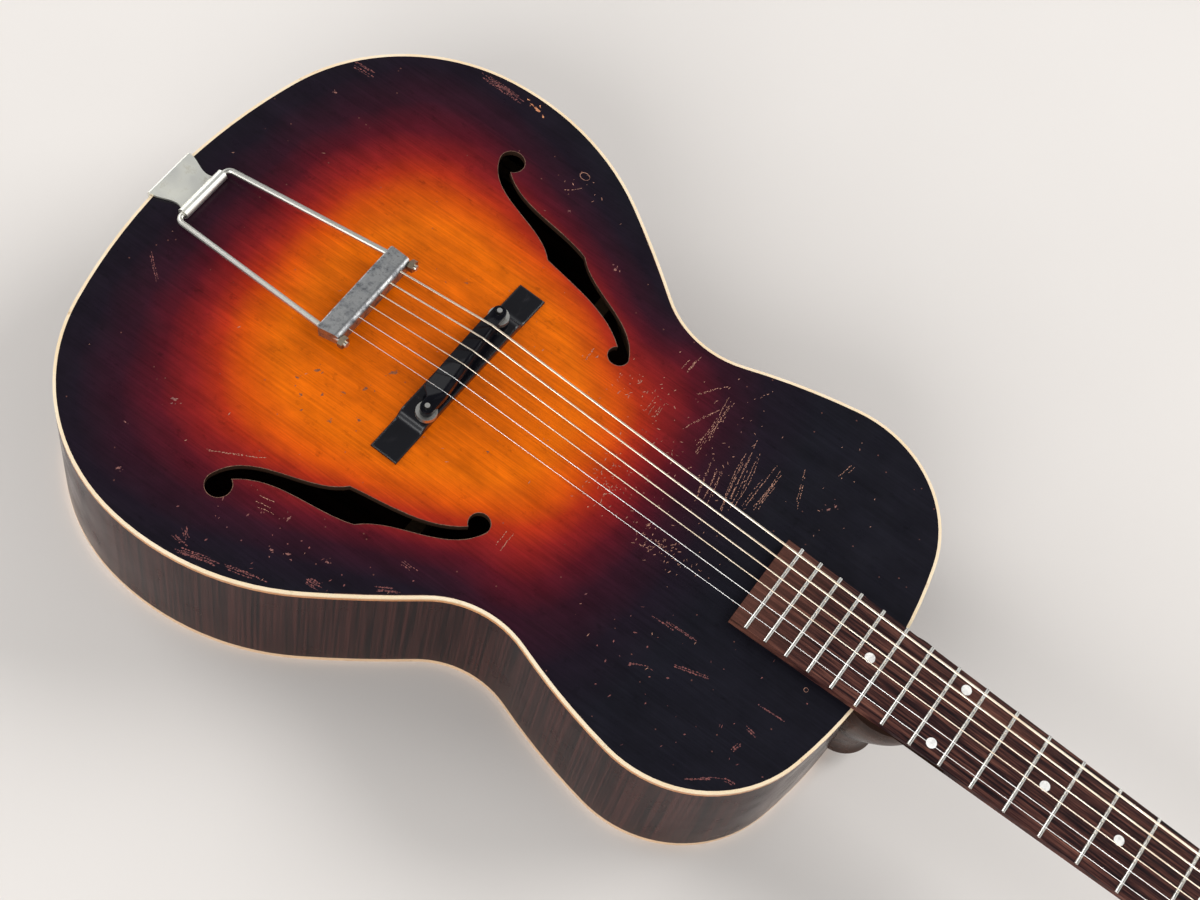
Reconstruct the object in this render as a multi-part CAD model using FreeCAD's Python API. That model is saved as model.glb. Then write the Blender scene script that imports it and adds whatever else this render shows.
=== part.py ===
import FreeCAD, Part
import math
import os

from FreeCAD import Placement, Rotation, Vector

# Archtop guitar with f-holes, a trapeze tailpiece, a two-post bridge and open-geared tuners.
# Millimetres. The origin is on the centreline under the bridge, on the plane of the back.
# +X runs to the head, +Y to the bass side, +Z out of the top.

# Body outline: arcs (radius, sweep in degrees) from the tail round the bass side to the neck.
# A negative radius is the hollow waist. A last arc centred on the centreline closes the half.
BODY_TAIL_X = -202.9
BODY_ARCS = ((365, 15.0), (117, 68.1), (156, 40.8), (700, 5.2), (-58, 59.5), (390, 10.1), (74, 86.4))
RIM_HEIGHT = 92.75
SIDE_THICK = 1.7
BINDING_HEIGHT = 3.8
TOP_THICK = 4.0
BACK_THICK = 3.5

# Arch of the top: rise over the rim, flat border inside the binding, fullness along the body.
ARCH_RISE = 7.3
ARCH_BORDER = 6.0
ARCH_FULLNESS = 1.3
ARCH_CELL = 36.0

# One f-hole on the bass side. The corners of its outline are joined by curves and two eyes.
F_TAIL_CUSP = (-55.9, 126.3)
F_TAIL_EYE_TOP = (-54.3, 138.6)
F_TAIL_EYE_END = (-66.4, 131.0)
F_INNER_STEM = ((-59.0, 119.2), (-32.1, 106.0))
F_INNER_NOTCH = (-4.0, 91.2)
F_INNER_WING = ((20.3, 87.0), (44.0, 80.2))
F_NECK_CUSP = (59.2, 70.6)
F_NECK_EYE_TOP = (60.6, 60.0)
F_NECK_EYE_END = (68.8, 67.4)
F_OUTER_WING = ((59.0, 80.0), (30.0, 94.6))
F_OUTER_NOTCH = (10.8, 107.0)
F_OUTER_STEM = ((-11.3, 111.8), (-40.3, 117.3))

# Frame inside the body.
LINING_WIDTH = 6.0
LINING_HEIGHT = 14.0
NECK_BLOCK_SIZE = (52.0, 76.0)
TAIL_BLOCK_SIZE = (26.0, 70.0)
TONE_BAR_Y = 40.0
TONE_BAR_WIDTH = 7.0
TONE_BAR_DEPTH = 13.0
TONE_BAR_SPAN = (-150.0, 175.0)
BACK_BRACE_X = (-115.0, 20.0, 165.0)
BACK_BRACE_WIDTH = 9.0
BACK_BRACE_HEIGHT = 11.0

# Scale, neck and fingerboard. The neck plane falls towards the head by the neck angle.
SCALE = 628.65
FRET_COUNT = 19
BODY_FRET = 14
NECK_ANGLE = 3.1
BOARD_TOP_AT_BODY = 98.1
BOARD_THICK = 5.2
BOARD_END_X = 200.5
BOARD_WIDTH_NUT = 43.0
BOARD_WIDTH_END = 58.0
BOARD_RADIUS = 400.0
FRET_HEIGHT = 1.1
FRET_WIDTH = 2.4
FRET_SHOULDER = (0.85, 0.75)
FRET_CROWN = 0.35
TANG_WIDTH = 0.6
TANG_DEPTH = 1.6
DOT_RADIUS = 3.0
DOT_THICK = 1.2
DOT_SIDES = 16
SINGLE_DOT_FRETS = (5, 7, 9, 15)
DOUBLE_DOT_FRET = 12
DOUBLE_DOT_Y = 18.6
NUT_THICK = 5.0
NUT_HEIGHT = 2.0
NECK_DEPTH_NUT = 15.5
NECK_DEPTH_HEEL = 18.0
# Heel sections from the fingerboard down: height, half width and reach past the body.
HEEL_SECTIONS = ((92.0, 26.0, 40.0), (74.0, 25.0, 38.0), (44.0, 21.5, 22.0), (10.0, 18.0, 17.0))
HEEL_SINK = 6.0
TENON_WIDTH = 24.0
TENON_LENGTH = 16.0
TENON_Z = (26.0, 86.0)

# Head, with its own plane tilted back from the neck plane.
HEAD_ANGLE = 13.0
HEAD_LENGTH = 166.0
HEAD_THICK = 14.0
HEAD_FLARE_X = 26.0
HEAD_BEND = (16.1, 26.1)
HEAD_HALF_NUT = 21.5
HEAD_HALF_FLARE = 36.0
HEAD_HALF_TIP = 38.5
HEAD_CORNER_X = 150.0
VENEER_THICK = 1.5

# Tuners: three posts on a plate each side, with 14-tooth gears and single-start worms.
POST_X = (45.0, 80.0, 115.0)
POST_Y = 23.5
POST_RADIUS = 3.1
POST_WAIST_RADIUS = 2.6
POST_WAIST_Z = (5.0, 13.0)
POST_TOP_Z = 16.0
RUNNING_GAP = 0.06
BUSHING_RADIUS = 4.5
BUSHING_DEPTH = 6.0
FLANGE_RADIUS = 6.2
FLANGE_THICK = 1.2
PLATE_THICK = 1.2
PLATE_HALF_WIDTH = 8.5
PLATE_END = 14.0
GEAR_TEETH = 14
GEAR_PITCH_RADIUS = 5.5
GEAR_TIP_RADIUS = 6.2
GEAR_ROOT_RADIUS = 4.55
GEAR_TIP_THICK = 0.6
GEAR_ROOT_THICK = 1.0
GEAR_WIDTH = 3.0
GEAR_BORE = 2.0
GEAR_GAP = 2.5
RIVET_RADIUS = 3.0
RIVET_HEIGHT = 1.2
WORM_PITCH_RADIUS = 3.0
WORM_TIP_RADIUS = 3.6
WORM_ROOT_RADIUS = 2.05
WORM_TIP_THICK = 0.5
WORM_ROOT_THICK = 1.0
WORM_TURNS = 3
WORM_STEPS_PER_TURN = 8
SHAFT_RADIUS = 1.6
EAR_OFFSET = 6.4
EAR_THICK = 1.4
EAR_PLAY = 0.1
EAR_HALF_WIDTH = 3.5
BUTTON_START_Y = 46.0
BUTTON_COLLAR = 4.5
BUTTON_RADIUS = 6.6
BUTTON_THICK = 7.0
BUTTON_ROUND = 2.0
PLATE_SCREW_RADIUS = 1.3
PLATE_SCREW_HEAD = (2.5, 1.4, 1.4)
PLATE_SCREW_LENGTH = 8.0

WORM_REACH = GEAR_PITCH_RADIUS + WORM_PITCH_RADIUS
WORM_PITCH = 2 * math.pi * GEAR_PITCH_RADIUS / GEAR_TEETH
GEAR_TOP_Z = -HEAD_THICK - PLATE_THICK - GEAR_GAP
GEAR_MID_Z = GEAR_TOP_Z - GEAR_WIDTH / 2

# Bridge: base scribed to the arch, two posts, two thumbwheels and a saddle that rides on them.
BASE_CENTRE_X = 0.8
BASE_SKEW = -1.7
BASE_LENGTH = 132.7
BASE_WIDTH = 17.5
BASE_TAB_Z = 98.9
BASE_TAB_LENGTH = 18.5
BASE_TAB_RISE = 0.6
BASE_RAMP_LENGTH = 9.0
BASE_EDGE = 0.7
BASE_TOP_Z = 104.6
BRIDGE_POSTS = ((-0.4, 36.0), (4.1, -36.0))
BRIDGE_POST_RADIUS = 1.5
BRIDGE_POST_Z = (100.8, 116.6)
WHEEL_RADIUS = 6.1
WHEEL_FLATS = 24
WHEEL_Z = (107.1, 110.1)
SADDLE_LOW = 110.15
SADDLE_NOSE_RADIUS = 4.0
SADDLE_NOSE_TOP = 114.9
SADDLE_HALF_LENGTH = 33.0
SADDLE_STATIONS = (36.0, 31.0, 25.5, 12.5, 0.0, -12.5, -25.5, -31.0, -36.0)
SADDLE_PINCH = (25.5, 31.0)
SADDLE_REAR_X = -5.4
SADDLE_FRONT_X = (4.2, 9.0)
SADDLE_REAR_Z = 114.6
SADDLE_FRONT_Z = 117.0
RIDGE_Z = 118.6
RIDGE_SET_BACK = 2.2
RIDGE_HALF = 0.5

# Trapeze tailpiece, in a frame whose x runs from the hinge pin along the strings to the saddle.
HINGE_X = -179.0
HINGE_Z = 96.8
KNUCKLE_RADIUS = 3.4
KNUCKLE_HALF = 17.2
BRACKET_THICK = 1.5
BRACKET_HALF_RIM = 17.2
BRACKET_HALF_NARROW = 13.5
BRACKET_LEAF_Z = 24.0
BRACKET_SCREWS = ((10.0, 78.0), (-10.0, 78.0), (0.0, 32.0))
BRACKET_SCREW_RADIUS = 1.6
BRACKET_SCREW_LENGTH = 18.0
BRACKET_SCREW_HEAD = (3.2, 1.8, 1.8)
YOKE_RADIUS = 1.75
YOKE_SIDES = 12
YOKE_HALF_HINGE = 22.0
YOKE_HALF_END = 31.4
YOKE_END_X = 126.5
YOKE_BEND = 4.0
YOKE_DROP = 1.9
LEG_FIT = 0.03
BAR_X = (107.0, 121.5)
BAR_HALF_LENGTH = (33.5, 32.0)
BAR_Z = (-6.0, 2.2)
BAR_WALL = 2.4
BAR_TOP_THICK = 1.3
BAR_FRONT_ROUND = 3.4
BAR_REAR_ROUND = 1.0
BAR_CORNER_ROUND = 1.6
NUT_FLAT = 6.4
NUT_STAND_OFF = 0.1
TAIL_NUT_THICK = 3.2
BALL_RADIUS = 1.9
BALL_HEIGHT = 2.6
BALL_DROP = 0.5
BALL_GAP = 0.1

# End pin.
END_PIN_Z = 52.0
END_PIN_SHANK = 4.0
END_PIN_LENGTH = 20.0
END_PIN_FLANGE = 7.5
END_PIN_WAIST = 3.6
END_PIN_WAIST_REACH = 6.0
END_PIN_BUTTON = 6.5
END_PIN_REACH = 14.0

# Strings from the low E on the bass side to the high E.
STRING_DIAMETERS = (1.35, 1.07, 0.81, 0.61, 0.43, 0.33)
STRING_SPREAD_SADDLE = 49.0
STRING_SPREAD_NUT = 35.5
STRING_SPREAD_BAR = 46.5
STRING_HEIGHT_NUT = 1.6
STRING_SEAT_GAP = 0.12
STRING_BEND = 10.0
WIND_TURNS = 2
WIND_GAP = 0.8
WIND_START_Z = 5.9
STRING_TAIL = 3.0
STRING_CLEARANCE = 0.2
STRING_SIDES = 5

# Small turned pieces that repeat are made with few flat sides.
SMALL_SIDES = 10

FAR = 400.0
X_AXIS = Vector(1, 0, 0)
Y_AXIS = Vector(0, 1, 0)
Z_AXIS = Vector(0, 0, 1)


def fret_x(number):
    """Distance of a fret from the saddle end of the scale."""
    return SCALE * 2 ** (-number / 12)


# The neck frame starts at the body fret on the fingerboard's top; the head frame behind the nut.
JOIN_X = fret_x(BODY_FRET)
NUT_X = SCALE - JOIN_X
NECK_FRAME = Placement(Vector(JOIN_X, 0, BOARD_TOP_AT_BODY), Rotation(Y_AXIS, NECK_ANGLE))
HEAD_ON_NECK = Placement(Vector(NUT_X + NUT_THICK, 0, -BOARD_THICK), Rotation(Y_AXIS, HEAD_ANGLE))
HEAD_FRAME = NECK_FRAME * HEAD_ON_NECK


def placed(shape, frame):
    """A copy of a shape moved from a local frame to the body's frame."""
    copy = shape.copy()
    copy.Placement = frame * copy.Placement
    return copy


def mirrored(shape):
    """The shape on the other side of the centreline."""
    return shape.mirror(Vector(0, 0, 0), Y_AXIS)


def box(x, y, z):
    """A block between the pairs of limits x, y and z."""
    return Part.makeBox(x[1] - x[0], y[1] - y[0], z[1] - z[0], Vector(x[0], y[0], z[0]))


def rod(radius, start, end):
    """A round bar from one point to another."""
    run = end - start
    return Part.makeCylinder(radius, run.Length, start, run)


def polygon(points):
    """A face bounded by straight lines."""
    return Part.Face(Part.makePolygon([*points, points[0]]))


def even_ring(radius, start, way, sides=SMALL_SIDES):
    """Corners of an even polygon about a point, square to a direction, on a circle."""
    frame = Placement(start, Rotation(Z_AXIS, way))
    angles = [2 * math.pi * index / sides for index in range(sides)]
    return [frame.multVec(Vector(radius * math.cos(angle), radius * math.sin(angle), 0)) for angle in angles]


def prism(radius, start, end):
    """A small bar with flat sides from one point to another, its corners on a circle."""
    run = end - start
    return polygon(even_ring(radius, start, run)).extrude(run)


def loose_hole(radius, start, end):
    """A bar whose flat sides lie outside a circle, to cut a hole in which the circle turns freely."""
    return prism(radius / math.cos(math.pi / SMALL_SIDES), start, end)


def skinned(rings):
    """A solid with flat faces between rings of as many points each, closed at both ends."""
    faces = [polygon(rings[0]), polygon(rings[-1])]
    for first, second in zip(rings, rings[1:]):
        for index in range(len(first)):
            faces.append(polygon([first[index - 1], first[index], second[index]]))
            faces.append(polygon([first[index - 1], second[index], second[index - 1]]))
    solid = Part.makeSolid(Part.makeShell(faces))
    if solid.Volume < 0:
        solid.reverse()
    return solid


def turned(profile, start, way):
    """A small turned piece from (radius, distance) points along a direction."""
    rings = [even_ring(radius, start + way * along, way) for radius, along in profile]
    return skinned(rings).removeSplitter()


def spline(points):
    """A smooth edge through plan points."""
    curve = Part.BSplineCurve()
    curve.interpolate([Vector(x, y, 0) for x, y in points])
    return curve.toShape()


def arc(start, middle, end):
    """A round edge through three points."""
    return Part.Arc(start, middle, end).toShape()


def upright_edges(shape):
    """Straight edges that run along Z."""
    return [edge for edge in shape.Edges if edge.BoundBox.ZLength > 0.99 * edge.Length]


def fused(shapes):
    """One solid from several that overlap."""
    return shapes[0].multiFuse(shapes[1:]).removeSplitter()


def outline_arcs():
    """The bass half of the outline as (centre, signed radius, first heading, last heading)."""
    arcs = []
    point = Vector(BODY_TAIL_X, 0, 0)
    heading = 90.0
    for radius, sweep in BODY_ARCS:
        turn = math.copysign(sweep, radius)
        centre = point + inward(heading) * radius
        arcs.append((centre, radius, heading, heading - turn))
        heading -= turn
        point = centre - inward(heading) * radius
    side = inward(heading)
    radius = -point.y / side.y
    arcs.append((point + side * radius, radius, heading, -90.0))
    return arcs


def inward(heading):
    """The unit vector to the inside of the body for a heading along the outline."""
    angle = math.radians(heading)
    return Vector(math.sin(angle), -math.cos(angle), 0)


OUTLINE = outline_arcs()
BODY_NECK_X = OUTLINE[-1][0].x + OUTLINE[-1][1]


def half_outline(inset):
    """Edges of the bass half of the outline, moved in by inset, from the tail to the neck."""
    edges = []
    for centre, radius, first, last in OUTLINE:
        reach = radius - inset
        ends = [centre - inward(heading) * reach for heading in (first, (first + last) / 2, last)]
        edges.append(arc(*ends))
    return edges


def body_prism(inset, low, high):
    """The whole outline, moved in by inset, as a block between two heights."""
    bass = half_outline(inset)
    treble = [mirrored(edge) for edge in bass]
    wire = Part.Wire(Part.__sortEdges__(bass + treble))
    face = Part.Face(wire)
    face.translate(Vector(0, 0, low))
    return face.extrude(Vector(0, 0, high - low))


def half_width(x):
    """Half of the body's width at a place along the centreline, 0 past its ends."""
    widest = 0.0
    for centre, radius, first, last in OUTLINE:
        reach = radius * radius - (x - centre.x) ** 2
        if reach < 0:
            continue
        for side in (1, -1):
            y = centre.y + side * math.sqrt(reach)
            heading = math.degrees(math.atan2((centre.x - x) / radius, (y - centre.y) / radius))
            heading = heading if radius > 0 or heading > -180 else heading + 360
            if min(first, last) - 0.01 <= heading <= max(first, last) + 0.01:
                widest = max(widest, y)
    return widest


def arch_height(x, y):
    """Rise of the top over the rim at a place: a cosine across, a full sine along."""
    along = (x - BODY_TAIL_X) / (BODY_NECK_X - BODY_TAIL_X)
    reach = half_width(x) - SIDE_THICK - ARCH_BORDER
    if reach <= abs(y) or not 0 < along < 1:
        return 0.0
    across = 0.5 + 0.5 * math.cos(math.pi * y / reach)
    return ARCH_RISE * across * math.sin(math.pi * along) ** ARCH_FULLNESS


def top_face():
    """The arched outer surface of the top, wider than the body all round."""
    half_y = math.ceil(190 / ARCH_CELL) * ARCH_CELL
    columns = int(2 * half_y / ARCH_CELL) + 1
    start_x = BODY_TAIL_X - ARCH_CELL
    rows = int((BODY_NECK_X + ARCH_CELL - start_x) / ARCH_CELL) + 2
    grid = []
    for row in range(rows):
        x = start_x + row * ARCH_CELL
        ys = [column * ARCH_CELL - half_y for column in range(columns)]
        grid.append([Vector(x, y, RIM_HEIGHT + arch_height(x, y)) for y in ys])
    surface = Part.BSplineSurface()
    surface.interpolate(grid)
    return surface.toShape()


TOP_FACE = top_face()
UNDER_FACE = TOP_FACE.translated(Vector(0, 0, -TOP_THICK))
BELOW_TOP = TOP_FACE.extrude(Vector(0, 0, -RIM_HEIGHT))
BELOW_PLATE = UNDER_FACE.extrude(Vector(0, 0, -RIM_HEIGHT))


def f_hole():
    """The bass f-hole as a block that cuts through the top."""
    def at(point):
        return Vector(point[0], point[1], 0)

    edges = [
        arc(at(F_TAIL_CUSP), at(F_TAIL_EYE_TOP), at(F_TAIL_EYE_END)),
        spline([F_TAIL_EYE_END, *F_INNER_STEM, F_INNER_NOTCH]),
        spline([F_INNER_NOTCH, *F_INNER_WING, F_NECK_CUSP]),
        arc(at(F_NECK_CUSP), at(F_NECK_EYE_TOP), at(F_NECK_EYE_END)),
        spline([F_NECK_EYE_END, *F_OUTER_WING, F_OUTER_NOTCH]),
        spline([F_OUTER_NOTCH, *F_OUTER_STEM, F_TAIL_CUSP]),
    ]
    face = Part.Face(Part.Wire(edges))
    face.translate(Vector(0, 0, RIM_HEIGHT - 2 * TOP_THICK))
    return face.extrude(Vector(0, 0, RIM_HEIGHT))


def top_plate():
    """The arched top, inside the binding, with its two f-holes."""
    slab = UNDER_FACE.extrude(Vector(0, 0, TOP_THICK))
    plate = slab.common(body_prism(SIDE_THICK, 0, 2 * RIM_HEIGHT))
    hole = f_hole()
    return plate.cut(hole).cut(mirrored(hole))


def back_plate():
    """The flat back, inside the binding."""
    return body_prism(SIDE_THICK, 0, BACK_THICK)


def binding(low):
    """A ring of edge binding."""
    high = low + BINDING_HEIGHT
    return body_prism(0, low, high).cut(body_prism(SIDE_THICK, low, high))


def bass_side():
    """The bent side from the tail seam to the neck seam, between the bindings."""
    outer = half_outline(0)
    inner = half_outline(SIDE_THICK)
    ends = []
    for index, place in ((0, 0), (-1, 1)):
        start = outer[index].Vertexes[place].Point
        ends.append(Part.makeLine(start, Vector(start.x + SIDE_THICK * (1 - 2 * place), 0, 0)))
    face = Part.Face(Part.Wire(Part.__sortEdges__(outer + inner + ends)))
    face.translate(Vector(0, 0, BINDING_HEIGHT))
    return face.extrude(Vector(0, 0, RIM_HEIGHT - 2 * BINDING_HEIGHT))


def cavity():
    """The space inside the body, up to the underside of the top."""
    return body_prism(SIDE_THICK, BACK_THICK, 2 * RIM_HEIGHT).common(BELOW_PLATE)


def neck_block():
    """The block that takes the neck's tenon."""
    inner_x = BODY_NECK_X - SIDE_THICK
    half = NECK_BLOCK_SIZE[1] / 2
    block = box((inner_x - NECK_BLOCK_SIZE[0], inner_x + 1), (-half, half), (BACK_THICK, RIM_HEIGHT))
    return block.common(CAVITY).cut(tenon())


def tail_block():
    """The block behind the tail bracket and end pin."""
    inner_x = BODY_TAIL_X + SIDE_THICK
    half = TAIL_BLOCK_SIZE[1] / 2
    block = box((inner_x - 1, inner_x + TAIL_BLOCK_SIZE[0]), (-half, half), (BACK_THICK, RIM_HEIGHT))
    return block.common(CAVITY).cut([end_pin_shank(), *bracket_screw_shanks()])


def block_space():
    """Room that the linings leave for the two blocks."""
    neck_half = NECK_BLOCK_SIZE[1] / 2
    tail_half = TAIL_BLOCK_SIZE[1] / 2
    neck = box((BODY_NECK_X - FAR / 4, BODY_NECK_X), (-neck_half, neck_half), (0, 2 * RIM_HEIGHT))
    tail = box((BODY_TAIL_X, BODY_TAIL_X + FAR / 4), (-tail_half, tail_half), (0, 2 * RIM_HEIGHT))
    return neck.fuse(tail)


def linings():
    """Strips that glue the sides to the top and the back, four in all."""
    outer = body_prism(SIDE_THICK, 0, 2 * RIM_HEIGHT)
    inner = body_prism(SIDE_THICK + LINING_WIDTH, 0, 2 * RIM_HEIGHT)
    ring = outer.cut([inner, block_space()])
    wide = (-FAR, FAR)
    top_low = RIM_HEIGHT - TOP_THICK - LINING_HEIGHT
    top = ring.common(box(wide, wide, (top_low, 2 * RIM_HEIGHT))).common(BELOW_PLATE)
    back = ring.common(box(wide, wide, (BACK_THICK, BACK_THICK + LINING_HEIGHT)))
    return Part.makeCompound(top.Solids + back.Solids)


def tone_bars():
    """Two bars glued along the underside of the top, thinned towards their ends."""
    first, last = TONE_BAR_SPAN
    low = RIM_HEIGHT - TOP_THICK
    high = low + 2 * ARCH_RISE
    middle = low + ARCH_RISE - TONE_BAR_DEPTH
    outline = [(first, low - 2), (-50, middle), (60, middle), (last, low - 2), (last, high), (first, high)]
    face = polygon([Vector(x, TONE_BAR_Y - TONE_BAR_WIDTH / 2, z) for x, z in outline])
    bar = face.extrude(Vector(0, TONE_BAR_WIDTH, 0)).common(BELOW_PLATE)
    return Part.makeCompound([bar.Solids[0], mirrored(bar.Solids[0])])


def back_braces():
    """Cross braces on the back, between the linings."""
    inside = body_prism(SIDE_THICK + LINING_WIDTH, 0, RIM_HEIGHT)
    braces = []
    for x in BACK_BRACE_X:
        half = BACK_BRACE_WIDTH / 2
        brace = box((x - half, x + half), (-FAR, FAR), (BACK_THICK, BACK_THICK + BACK_BRACE_HEIGHT))
        braces += brace.common(inside).Solids
    return Part.makeCompound(braces)


def end_pin_shank():
    """The part of the end pin that sits in the tail block."""
    start = Vector(BODY_TAIL_X - BRACKET_THICK, 0, END_PIN_Z)
    return prism(END_PIN_SHANK, start, start + X_AXIS * END_PIN_LENGTH)


def end_pin():
    """The strap button at the tail, turned about its own axis."""
    profile = [(END_PIN_SHANK, END_PIN_LENGTH), (END_PIN_SHANK, 0), (END_PIN_FLANGE, 0)]
    profile += [(END_PIN_WAIST, -END_PIN_WAIST_REACH), (END_PIN_BUTTON, 4 - END_PIN_REACH)]
    profile += [(END_PIN_BUTTON, 1 - END_PIN_REACH), (END_PIN_BUTTON - 2, -END_PIN_REACH)]
    return turned(profile, Vector(BODY_TAIL_X - BRACKET_THICK, 0, END_PIN_Z), X_AXIS)


def board_half_width(x):
    """Half of the fingerboard's width at a place in the neck frame."""
    end = BOARD_END_X - JOIN_X
    share = (x - end) / (NUT_X - end)
    return (BOARD_WIDTH_END + share * (BOARD_WIDTH_NUT - BOARD_WIDTH_END)) / 2


def crown(y):
    """Fall of the rounded fingerboard surface away from the centreline."""
    return BOARD_RADIUS - math.sqrt(BOARD_RADIUS ** 2 - y * y)


def under_crown(radius):
    """A long cylinder whose upper side is the rounded surface over the fingerboard."""
    return Part.makeCylinder(radius, 3 * FAR, Vector(-FAR, 0, -BOARD_RADIUS), X_AXIS)


def board_blank(start, end, depth):
    """A tapered stretch of fingerboard, flat below and rounded above."""
    corners = []
    for x, sign in ((start, 1), (end, 1), (end, -1), (start, -1)):
        corners.append(Vector(x, sign * board_half_width(x), -depth))
    return polygon(corners).extrude(Vector(0, 0, 2 * depth)).common(under_crown(BOARD_RADIUS))


def fingerboard():
    """The board, scribed to the top where it lies on the body, with fret slots and dot seats."""
    end = BOARD_END_X - JOIN_X
    edge = BODY_NECK_X - JOIN_X
    on_neck = placed(board_blank(end, NUT_X, BOARD_THICK), NECK_FRAME)
    over_body = body_prism(0, RIM_HEIGHT, 2 * RIM_HEIGHT)
    on_body = placed(board_blank(end, edge, 2 * BOARD_THICK), NECK_FRAME).common(over_body)
    board = fused([on_neck, on_body]).cut(BELOW_TOP)
    cutters = [placed(fret_tang(number), NECK_FRAME) for number in range(1, FRET_COUNT + 1)]
    return board.cut(cutters + dot_blanks())


def fret_tang(number):
    """The foot of a fret, up into its crown."""
    x = fret_x(number) - JOIN_X
    half = board_half_width(x)
    foot = box((x - TANG_WIDTH / 2, x + TANG_WIDTH / 2), (-half, half), (-TANG_DEPTH, FRET_HEIGHT))
    return foot.common(under_crown(BOARD_RADIUS + FRET_HEIGHT / 2))


def fret(number):
    """One fret: a crown that follows the board, on its tang."""
    x = fret_x(number) - JOIN_X
    half = board_half_width(x)
    side = [(FRET_WIDTH / 2, 0), FRET_SHOULDER, (FRET_CROWN, FRET_HEIGHT)]
    profile = side + [(-width, height) for width, height in reversed(side)]
    face = polygon([Vector(x + width, 0, height) for width, height in profile])
    sweep = math.degrees(2 * math.asin(half / BOARD_RADIUS))
    centre = Vector(x, 0, -BOARD_RADIUS)
    face.rotate(centre, X_AXIS, -sweep / 2)
    return face.revolve(centre, X_AXIS, sweep).fuse(fret_tang(number)).removeSplitter()


def frets():
    """All frets."""
    return Part.makeCompound([placed(fret(n), NECK_FRAME).Solids[0] for n in range(1, FRET_COUNT + 1)])


def dot_places():
    """Centres of the position dots in the neck frame."""
    places = []
    for number in (*SINGLE_DOT_FRETS, DOUBLE_DOT_FRET):
        x = (fret_x(number) + fret_x(number - 1)) / 2 - JOIN_X
        ys = (DOUBLE_DOT_Y, -DOUBLE_DOT_Y) if number == DOUBLE_DOT_FRET else (0,)
        places += [(x, y) for y in ys]
    return places


def dot_blanks():
    """Dots before their tops are rounded with the board."""
    blanks = []
    for x, y in dot_places():
        seat = Vector(x, y, -crown(y) - DOT_THICK)
        corners = even_ring(DOT_RADIUS, seat, Z_AXIS, DOT_SIDES)
        blanks.append(placed(polygon(corners).extrude(Z_AXIS * 2 * DOT_THICK), NECK_FRAME))
    return blanks


def position_dots():
    """Inlaid dots, flush with the rounded board."""
    under = placed(under_crown(BOARD_RADIUS), NECK_FRAME)
    return Part.makeCompound([blank.common(under).Solids[0] for blank in dot_blanks()])


def nut():
    """The nut, with a slot along the run of each string to its post."""
    half = BOARD_WIDTH_NUT / 2
    blank = box((NUT_X, NUT_X + NUT_THICK), (-half, half), (-BOARD_THICK, NUT_HEIGHT))
    blank = blank.common(under_crown(BOARD_RADIUS + NUT_HEIGHT))
    slots = []
    for index, diameter in enumerate(STRING_DIAMETERS):
        seat = nut_point(index)
        touch, _ = winding(index, HEAD_ON_NECK.inverse().multVec(seat))
        width = diameter / 2 + STRING_CLEARANCE
        floor = -diameter / 2 - STRING_SEAT_GAP
        slot = box((-NUT_THICK, 3 * NUT_THICK), (-width, width), (floor, 2 * BOARD_THICK))
        slot.Placement = Placement(seat, Rotation(X_AXIS, HEAD_ON_NECK.multVec(touch) - seat))
        slots.append(slot)
    return placed(blank.cut(slots), NECK_FRAME)


def neck_section(x, half, high, depth):
    """A round-backed section of the neck, flat on top."""
    left = Vector(x, half, high)
    right = Vector(x, -half, high)
    return Part.Wire([arc(left, Vector(x, 0, high - depth), right), Part.makeLine(right, left)])


def back_round(x, depth):
    """Centre and radius of the round back of the neck, through both edges of the board."""
    half = board_half_width(x)
    radius = (half * half + depth * depth) / (2 * depth)
    return Vector(x, 0, radius - depth - BOARD_THICK), radius


def neck_shaft(start, end):
    """The neck behind the board: a slice of a long cone, as wide as the board."""
    first, first_radius = back_round(start, NECK_DEPTH_HEEL)
    last, last_radius = back_round(end, NECK_DEPTH_NUT)
    run = last - first
    cone = Part.makeCone(first_radius, last_radius, run.Length, first, run)
    corners = [Vector(x, side * board_half_width(x), -BOARD_THICK)
               for x, side in ((start, 1), (end, 1), (end, -1), (start, -1))]
    return cone.common(polygon(corners).extrude(Vector(0, 0, -2 * NECK_DEPTH_HEEL)))


def heel_section(z, half, depth):
    """A flat-backed round section of the heel at one height."""
    back = BODY_NECK_X - HEEL_SINK
    left = Vector(back, half, z)
    right = Vector(back, -half, z)
    bow = arc(left, Vector(back + HEEL_SINK + depth, 0, z), right)
    return Part.Wire([bow, Part.makeLine(right, left)])


def tenon():
    """The tongue of the neck in the neck block."""
    half = TENON_WIDTH / 2
    return box((BODY_NECK_X - SIDE_THICK - TENON_LENGTH, BODY_NECK_X + 1), (-half, half), TENON_Z)


def head_outline():
    """Plan of the head in its own frame: a flare behind the nut and a shallow crown."""
    def side(sign):
        start = Vector(0, sign * HEAD_HALF_NUT, 0)
        bend = Vector(HEAD_BEND[0], sign * HEAD_BEND[1], 0)
        flare = Vector(HEAD_FLARE_X, sign * HEAD_HALF_FLARE, 0)
        corner = Vector(HEAD_CORNER_X, sign * HEAD_HALF_TIP, 0)
        return [arc(start, bend, flare), Part.makeLine(flare, corner)]

    left = side(1)
    right = side(-1)
    corners = [Vector(HEAD_CORNER_X, sign * HEAD_HALF_TIP, 0) for sign in (1, -1)]
    tip = arc(corners[0], Vector(HEAD_LENGTH, 0, 0), corners[1])
    base = Part.makeLine(Vector(0, HEAD_HALF_NUT, 0), Vector(0, -HEAD_HALF_NUT, 0))
    return Part.Face(Part.Wire(Part.__sortEdges__([*left, tip, *right, base])))


def head_holes(radius):
    """Blocks that open the six post holes in the head."""
    reach = Z_AXIS * 2 * HEAD_THICK
    return [prism(radius, Vector(x, y, 0) - reach, Vector(x, y, 0) + reach) for x, y in post_places()]


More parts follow.
